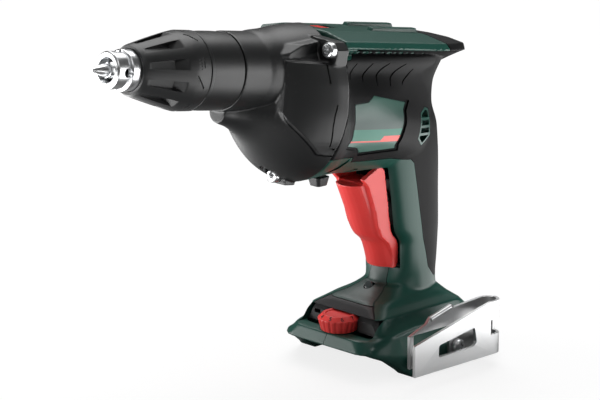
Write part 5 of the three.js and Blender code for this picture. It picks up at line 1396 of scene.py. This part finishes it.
def label_colors(tree, coords):
    """Plain fields of the label by height: grey green, bright green, a red line and a red block."""
    link = tree.links.new
    turn = node(tree, "ShaderNodeMapping", vector_type="TEXTURE")
    turn.inputs["Location"].default_value = NOSE
    turn.inputs["Rotation"].default_value = (0, TILT, 0)
    link(coords.outputs["Object"], turn.inputs["Vector"])
    parts = node(tree, "ShaderNodeSeparateXYZ")
    link(turn.outputs["Vector"], parts.inputs["Vector"])

    def times(a, b):
        product = node(tree, "ShaderNodeMath", operation="MULTIPLY")
        link(a, product.inputs[0])
        link(b, product.inputs[1])
        return product.outputs[0]

    def between(source, low, high):
        tests = []
        for op, value in (("GREATER_THAN", low), ("LESS_THAN", high)):
            test = node(tree, "ShaderNodeMath", operation=op)
            link(source, test.inputs[0])
            test.inputs[1].default_value = value
            tests.append(test.outputs[0])
        return times(*tests)

    s, v = parts.outputs["X"], parts.outputs["Z"]
    slant = node(tree, "ShaderNodeMath", operation="MULTIPLY_ADD")
    link(v, slant.inputs[0])
    slant.inputs[1].default_value = BLOCK_LEAN
    link(s, slant.inputs[2])
    fade = node(tree, "ShaderNodeMapRange")
    fade.inputs["From Min"].default_value = FADE_RUN[0]
    fade.inputs["From Max"].default_value = FADE_RUN[1]
    link(v, fade.inputs["Value"])
    base = node(tree, "ShaderNodeMix", data_type="RGBA")
    base.inputs["A"].default_value = (*LABEL_TOP, 1)
    base.inputs["B"].default_value = (*LABEL_DARK, 1)
    link(fade.outputs["Result"], base.inputs["Factor"])
    last = base.outputs["Result"]
    block = times(between(v, *RED_BLOCK), between(slant.outputs[0], *BLOCK_RUN))
    rows = [
        (between(v, *BRIGHT_FIELD), LABEL_GREEN), (between(v, *LOW_FIELD), LABEL_LOW),
        (between(v, *RED_LINE), LABEL_RED), (block, LABEL_RED),
    ]
    for where, color in rows:
        layer = node(tree, "ShaderNodeMix", data_type="RGBA")
        link(where, layer.inputs["Factor"])
        link(last, layer.inputs["A"])
        layer.inputs["B"].default_value = (*color, 1)
        last = layer.outputs["Result"]
    return last


LABEL_TOP = (0.055, 0.14, 0.11)
LABEL_DARK = (0.035, 0.075, 0.065)
LABEL_GREEN = (0.02, 0.19, 0.13)
LABEL_LOW = (0.08, 0.17, 0.14)
LABEL_RED = (0.85, 0.12, 0.10)
# Fields of the label, as heights over the spindle axis
FADE_RUN = (-0.009, -0.020)
BRIGHT_FIELD = (-0.0284, -0.0230)
LOW_FIELD = (-0.05, -0.0291)
RED_LINE = (-0.0291, -0.0284)
RED_BLOCK = (-0.0291, -0.0262)
BLOCK_LEAN = -0.9
BLOCK_RUN = (0.1751, 0.20)

GREEN = (0.010, 0.070, 0.052)
BLACK = (0.006, 0.0065, 0.007)
RUBBER = (0.004, 0.004, 0.0045)
RED = (0.90, 0.060, 0.055)
STEEL = (0.78, 0.79, 0.80)

MATERIALS = {
    "green": surface("green_moulding", GREEN, 0.36, bump=0.10, grain=1400.0, vary=0.06, coat=0.05),
    "hood": surface("hood_moulding", (0.030, 0.060, 0.052), 0.40, bump=0.10, grain=1400.0,
                    vary=0.06),
    "black": surface("black_moulding", BLACK, 0.42, bump=0.16, grain=1700.0, wear_and_edge_highlight=0.12,
                     shine=0.65),
    "dark": surface("dark_moulding", (0.012, 0.012, 0.013), 0.5, bump=0.15),
    "rubber": surface("black_rubber", RUBBER, 0.58, bump=0.20, grain=2200.0, wear_and_edge_highlight=0.10,
                      shine=0.2),
    "red": surface("red_moulding", RED, 0.32, bump=0.04, grain=1000.0, vary=0.04, wear_and_edge_highlight=0.08,
                   coat=0.1),
    "bright": surface("turned_steel", STEEL, 0.30, metal=1.0, bump=0.006, grain=200.0, wear_and_edge_highlight=0.2,
                      vary=0.02, stretch=(6, 1, 1), tilt=-TILT),
    "sheet": surface("sheet_steel", (0.60, 0.605, 0.61), 0.42, metal=1.0, bump=0.02, grain=300.0,
                     vary=0.04, stretch=(1, 4, 4)),
    "steel": surface("dark_steel", (0.20, 0.21, 0.22), 0.38, metal=1.0, bump=0.10, grain=700.0),
    "magnet": surface("magnet_metal", (0.12, 0.12, 0.13), 0.45, metal=0.9, bump=0.12),
    "copper": surface("copper_wire", (0.60, 0.26, 0.10), 0.38, metal=1.0, bump=0.2, grain=1200.0),
    "brass": surface("contact_brass", (0.70, 0.50, 0.20), 0.32, metal=1.0, bump=0.06),
    "clear": surface("clear_lens", (0.05, 0.06, 0.06), 0.10, bump=0.02, grain=300.0, wear_and_edge_highlight=0.0),
    "label": surface("label_print", LABEL_TOP, 0.34, bump=0.03, vary=0.04, wear_and_edge_highlight=0.0,
                     extra=label_colors),
    "ink": surface("digit_ink", (0.02, 0.02, 0.02), 0.5, bump=0.05, wear_and_edge_highlight=0.0),
}
DENSE = 12000


def dress(obj, look):
    obj.data.materials.clear()
    obj.data.materials.append(MATERIALS[look])


def show(obj, body, look, *nodes, angle=38):
    """Gives a finished piece its surface and its body, and hides the CAD nodes that it stands for.
    """
    active(obj)
    bpy.ops.object.shade_smooth_by_angle(angle=math.radians(angle))
    if len(obj.data.vertices) < DENSE:
        use(obj, "WEIGHTED_NORMAL", keep_sharp=True, weight=50)
    dress(obj, look)
    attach(obj, body)
    if nodes:
        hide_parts(*nodes)
    return obj


clear_selection()
housing = housing_pieces()
LOOKS = {"grip": "rubber", "label": "label", "vent": "green", "rear": "rubber",
         "light": "hood", "housing": "green"}
# The visor's dark moulding is painted shade on the hood's lip.
show(housing.pop("visor"), "housing", "dark")
for key, obj in housing.items():
    show(obj, "housing", LOOKS[key.split("_")[0]], key)
show(gear_case(), "housing", "black", "gear_housing")
show(seal(), "housing", "rubber", "spigot_seal_ring")
show(stop_sleeve(), "sleeve", "bright", "depth_stop_sleeve")
show(depth_ring(), "ring", "black", "depth_adjust_ring")
show(carrier(), "nose", "black", "nose_carrier")
show(bit(), "bit", "bright", "screwdriver_bit")
show(holder(), "spindle", "steel", "bit_holder_spindle")
for obj, name in zip(gear_screws(), ("left", "right", "lower")):
    show(obj, "housing", "bright", "gear_screw_" + name)
for k, obj in enumerate(shell_screws()):
    show(obj, "housing", "bright", "shell_screw_%d" % (k + 1))
show(trigger(), "trigger", "red", "trigger")
show(dial(), "dial", "red", "speed_dial")
show(dial_digits(), "dial", "ink")
show(hook(), "housing", "sheet", "belt_hook")
show(hook_screw(), "housing", "bright", "hook_screw")
show(lens(), "housing", "clear", "lamp_lens")
REFINED = [
    ("direction_lever", "reverse_lever", 0.0005, "direction", "dark"),
    ("top_slider", "slide_key", 0.0003, "slider", "red"),
    ("dial_liner", "dial_well", 0.0003, "housing", "dark"),
    ("terminal_block", "plug_block", 0.0004, "housing", "dark"),
    ("contact_blade_left", "blade_left", 0.00015, "housing", "brass"),
    ("contact_blade_right", "blade_right", 0.00015, "housing", "brass"),
]
for source, name, width, body, look in REFINED:
    show(refined(source, name, width), body, look, source)


# The clutch spring, as a merged copy with a mesh of its own
coil = show(merged_copy("clutch_spring", "clutch_coil"), "wheel", "bright", "clutch_spring")
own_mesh(coil)

KEPT = {
    "spindle_front_bearing": "bright", "spindle_rear_bearing": "bright",
    "bearing_shield": "dark", "driven_gear": "steel",
    "motor_pinion": "steel", "motor_shaft": "steel", "rotor": "magnet", "stator": "magnet",
    "stator_winding": "copper", "cooling_fan": "black", "motor_front_bearing": "bright",
    "motor_rear_bearing": "bright", "trigger_spring": "bright", "switch_body": "dark",
    "dial_pin": "steel", "electronics_module": "dark",
}
for name, look in KEPT.items():
    dress(frame["nodes"][name], look)


# ---- camera and light -----------------------------------------------------------------------

AZIMUTH = math.radians(-43.8)
ELEVATION = math.radians(14.7)
NOSE_IN_VIEW = (-0.0831, 0.0557, 1.2862)
LIT_POINT = Vector((-0.05, 0, 0.08))
FLOOR_Z = -0.0134
TABLE_LIGHT_Z = -0.0125
FLOOR_TONE = (0.2, 0.2, 0.2, 1)
FLOOR_GLOW = (0.82, 0.82, 0.82, 1)
SHADED_WORLD = 0.05


def view_axes():
    ca, sa = math.cos(AZIMUTH), math.sin(AZIMUTH)
    ce, se = math.cos(ELEVATION), math.sin(ELEVATION)
    ahead = Vector((-sa * ce, ca * ce, -se))
    right = Vector((ca, sa, 0))
    return right, right.cross(ahead), ahead


def add_camera():
    right, up, ahead = view_axes()
    a, b, c = NOSE_IN_VIEW
    spot = NOSE - (right * a + up * b + ahead * c)
    data = bpy.data.cameras.new("view")
    data.sensor_width = 36
    data.lens = 180
    data.clip_start = 0.05
    data.clip_end = 50
    obj = bpy.data.objects.new("view", data)
    bpy.context.scene.collection.objects.link(obj)
    turn = Matrix((right, up, -ahead)).transposed().to_4x4()
    obj.matrix_world = Matrix.Translation(spot) @ turn
    bpy.context.scene.camera = obj


def soft_light(name, width, height, power, spot, turn):
    data = bpy.data.lights.new(name, "AREA")
    data.shape = "RECTANGLE"
    data.size = width
    data.size_y = height
    data.energy = power
    obj = bpy.data.objects.new(name, data)
    bpy.context.scene.collection.objects.link(obj)
    obj.matrix_world = Matrix.Translation(spot) @ turn
    return obj


def area(name, right, up, back, size, power, shape=(1, 1)):
    """A soft light placed by the view: right, up and towards the camera, in metres."""
    r, u, a = view_axes()
    spot = LIT_POINT + r * right + u * up - a * back
    turn = (spot - LIT_POINT).to_track_quat("Z", "Y").to_matrix().to_4x4()
    soft_light(name, size * shape[0], size * shape[1], power, spot, turn)


def table_light(name, right, back, power):
    """A light that lies on the table beside the tool and shines up, between two distances."""
    axes = view_axes()
    side, ahead = axes[0], axes[2]
    toward = Vector((-ahead.x, -ahead.y, 0)).normalized()
    middle = side * (sum(right) / 2) + toward * (sum(back) / 2)
    down = Vector((0, 0, -1))
    turn = Matrix((side, down.cross(side), down)).transposed().to_4x4()
    spot = Vector((middle.x, middle.y, TABLE_LIGHT_Z))
    obj = soft_light(name, right[1] - right[0], back[1] - back[0], power, spot, turn)
    obj.visible_camera = False


def add_stage():
    bpy.ops.mesh.primitive_plane_add(size=30, location=(0, 0, 0))
    floor = bpy.context.active_object
    floor.name = "floor"
    transform(floor, Matrix.Translation((0, 0, FLOOR_Z)))
    mat = bpy.data.materials.new("floor_paper")
    mat.use_nodes = True
    shader = mat.node_tree.nodes["Principled BSDF"]
    shader.inputs["Base Color"].default_value = FLOOR_TONE
    shader.inputs["Roughness"].default_value = 0.9
    shader.inputs["Specular IOR Level"].default_value = 0.0
    path = node(mat.node_tree, "ShaderNodeLightPath")
    shader.inputs["Emission Color"].default_value = FLOOR_GLOW
    mat.node_tree.links.new(path.outputs["Is Camera Ray"], shader.inputs["Emission Strength"])
    floor.data.materials.append(mat)
    world = bpy.data.worlds.new("studio")
    bpy.context.scene.world = world
    world.use_nodes = True
    tree = world.node_tree
    tree.nodes["Background"].inputs["Color"].default_value = (1, 1, 1, 1)
    path = node(tree, "ShaderNodeLightPath")
    level = node(tree, "ShaderNodeMapRange")
    level.inputs["To Min"].default_value = SHADED_WORLD
    tree.links.new(path.outputs["Is Camera Ray"], level.inputs["Value"])
    tree.links.new(level.outputs["Result"], tree.nodes["Background"].inputs["Strength"])


add_camera()
add_stage()
area("top_soft", 0.0, 1.5, -0.3, 1.6, 26)
area("left_rim", -1.1, 0.10, -0.25, 0.9, 9, (0.5, 1.0))
area("right_side", 1.2, -0.04, 0.1, 0.9, 6, (1.0, 0.4))
area("front_soft", 0.1, 0.9, 1.3, 0.8, 3)
table_light("table_right", (0.10, 0.75), (-0.25, 0.42), 3.9)
table_light("table_left", (-0.75, -0.16), (-0.15, 0.58), 6.4)
bpy.context.scene.view_settings.view_transform = "Standard"

bpy.context.view_layer.update()
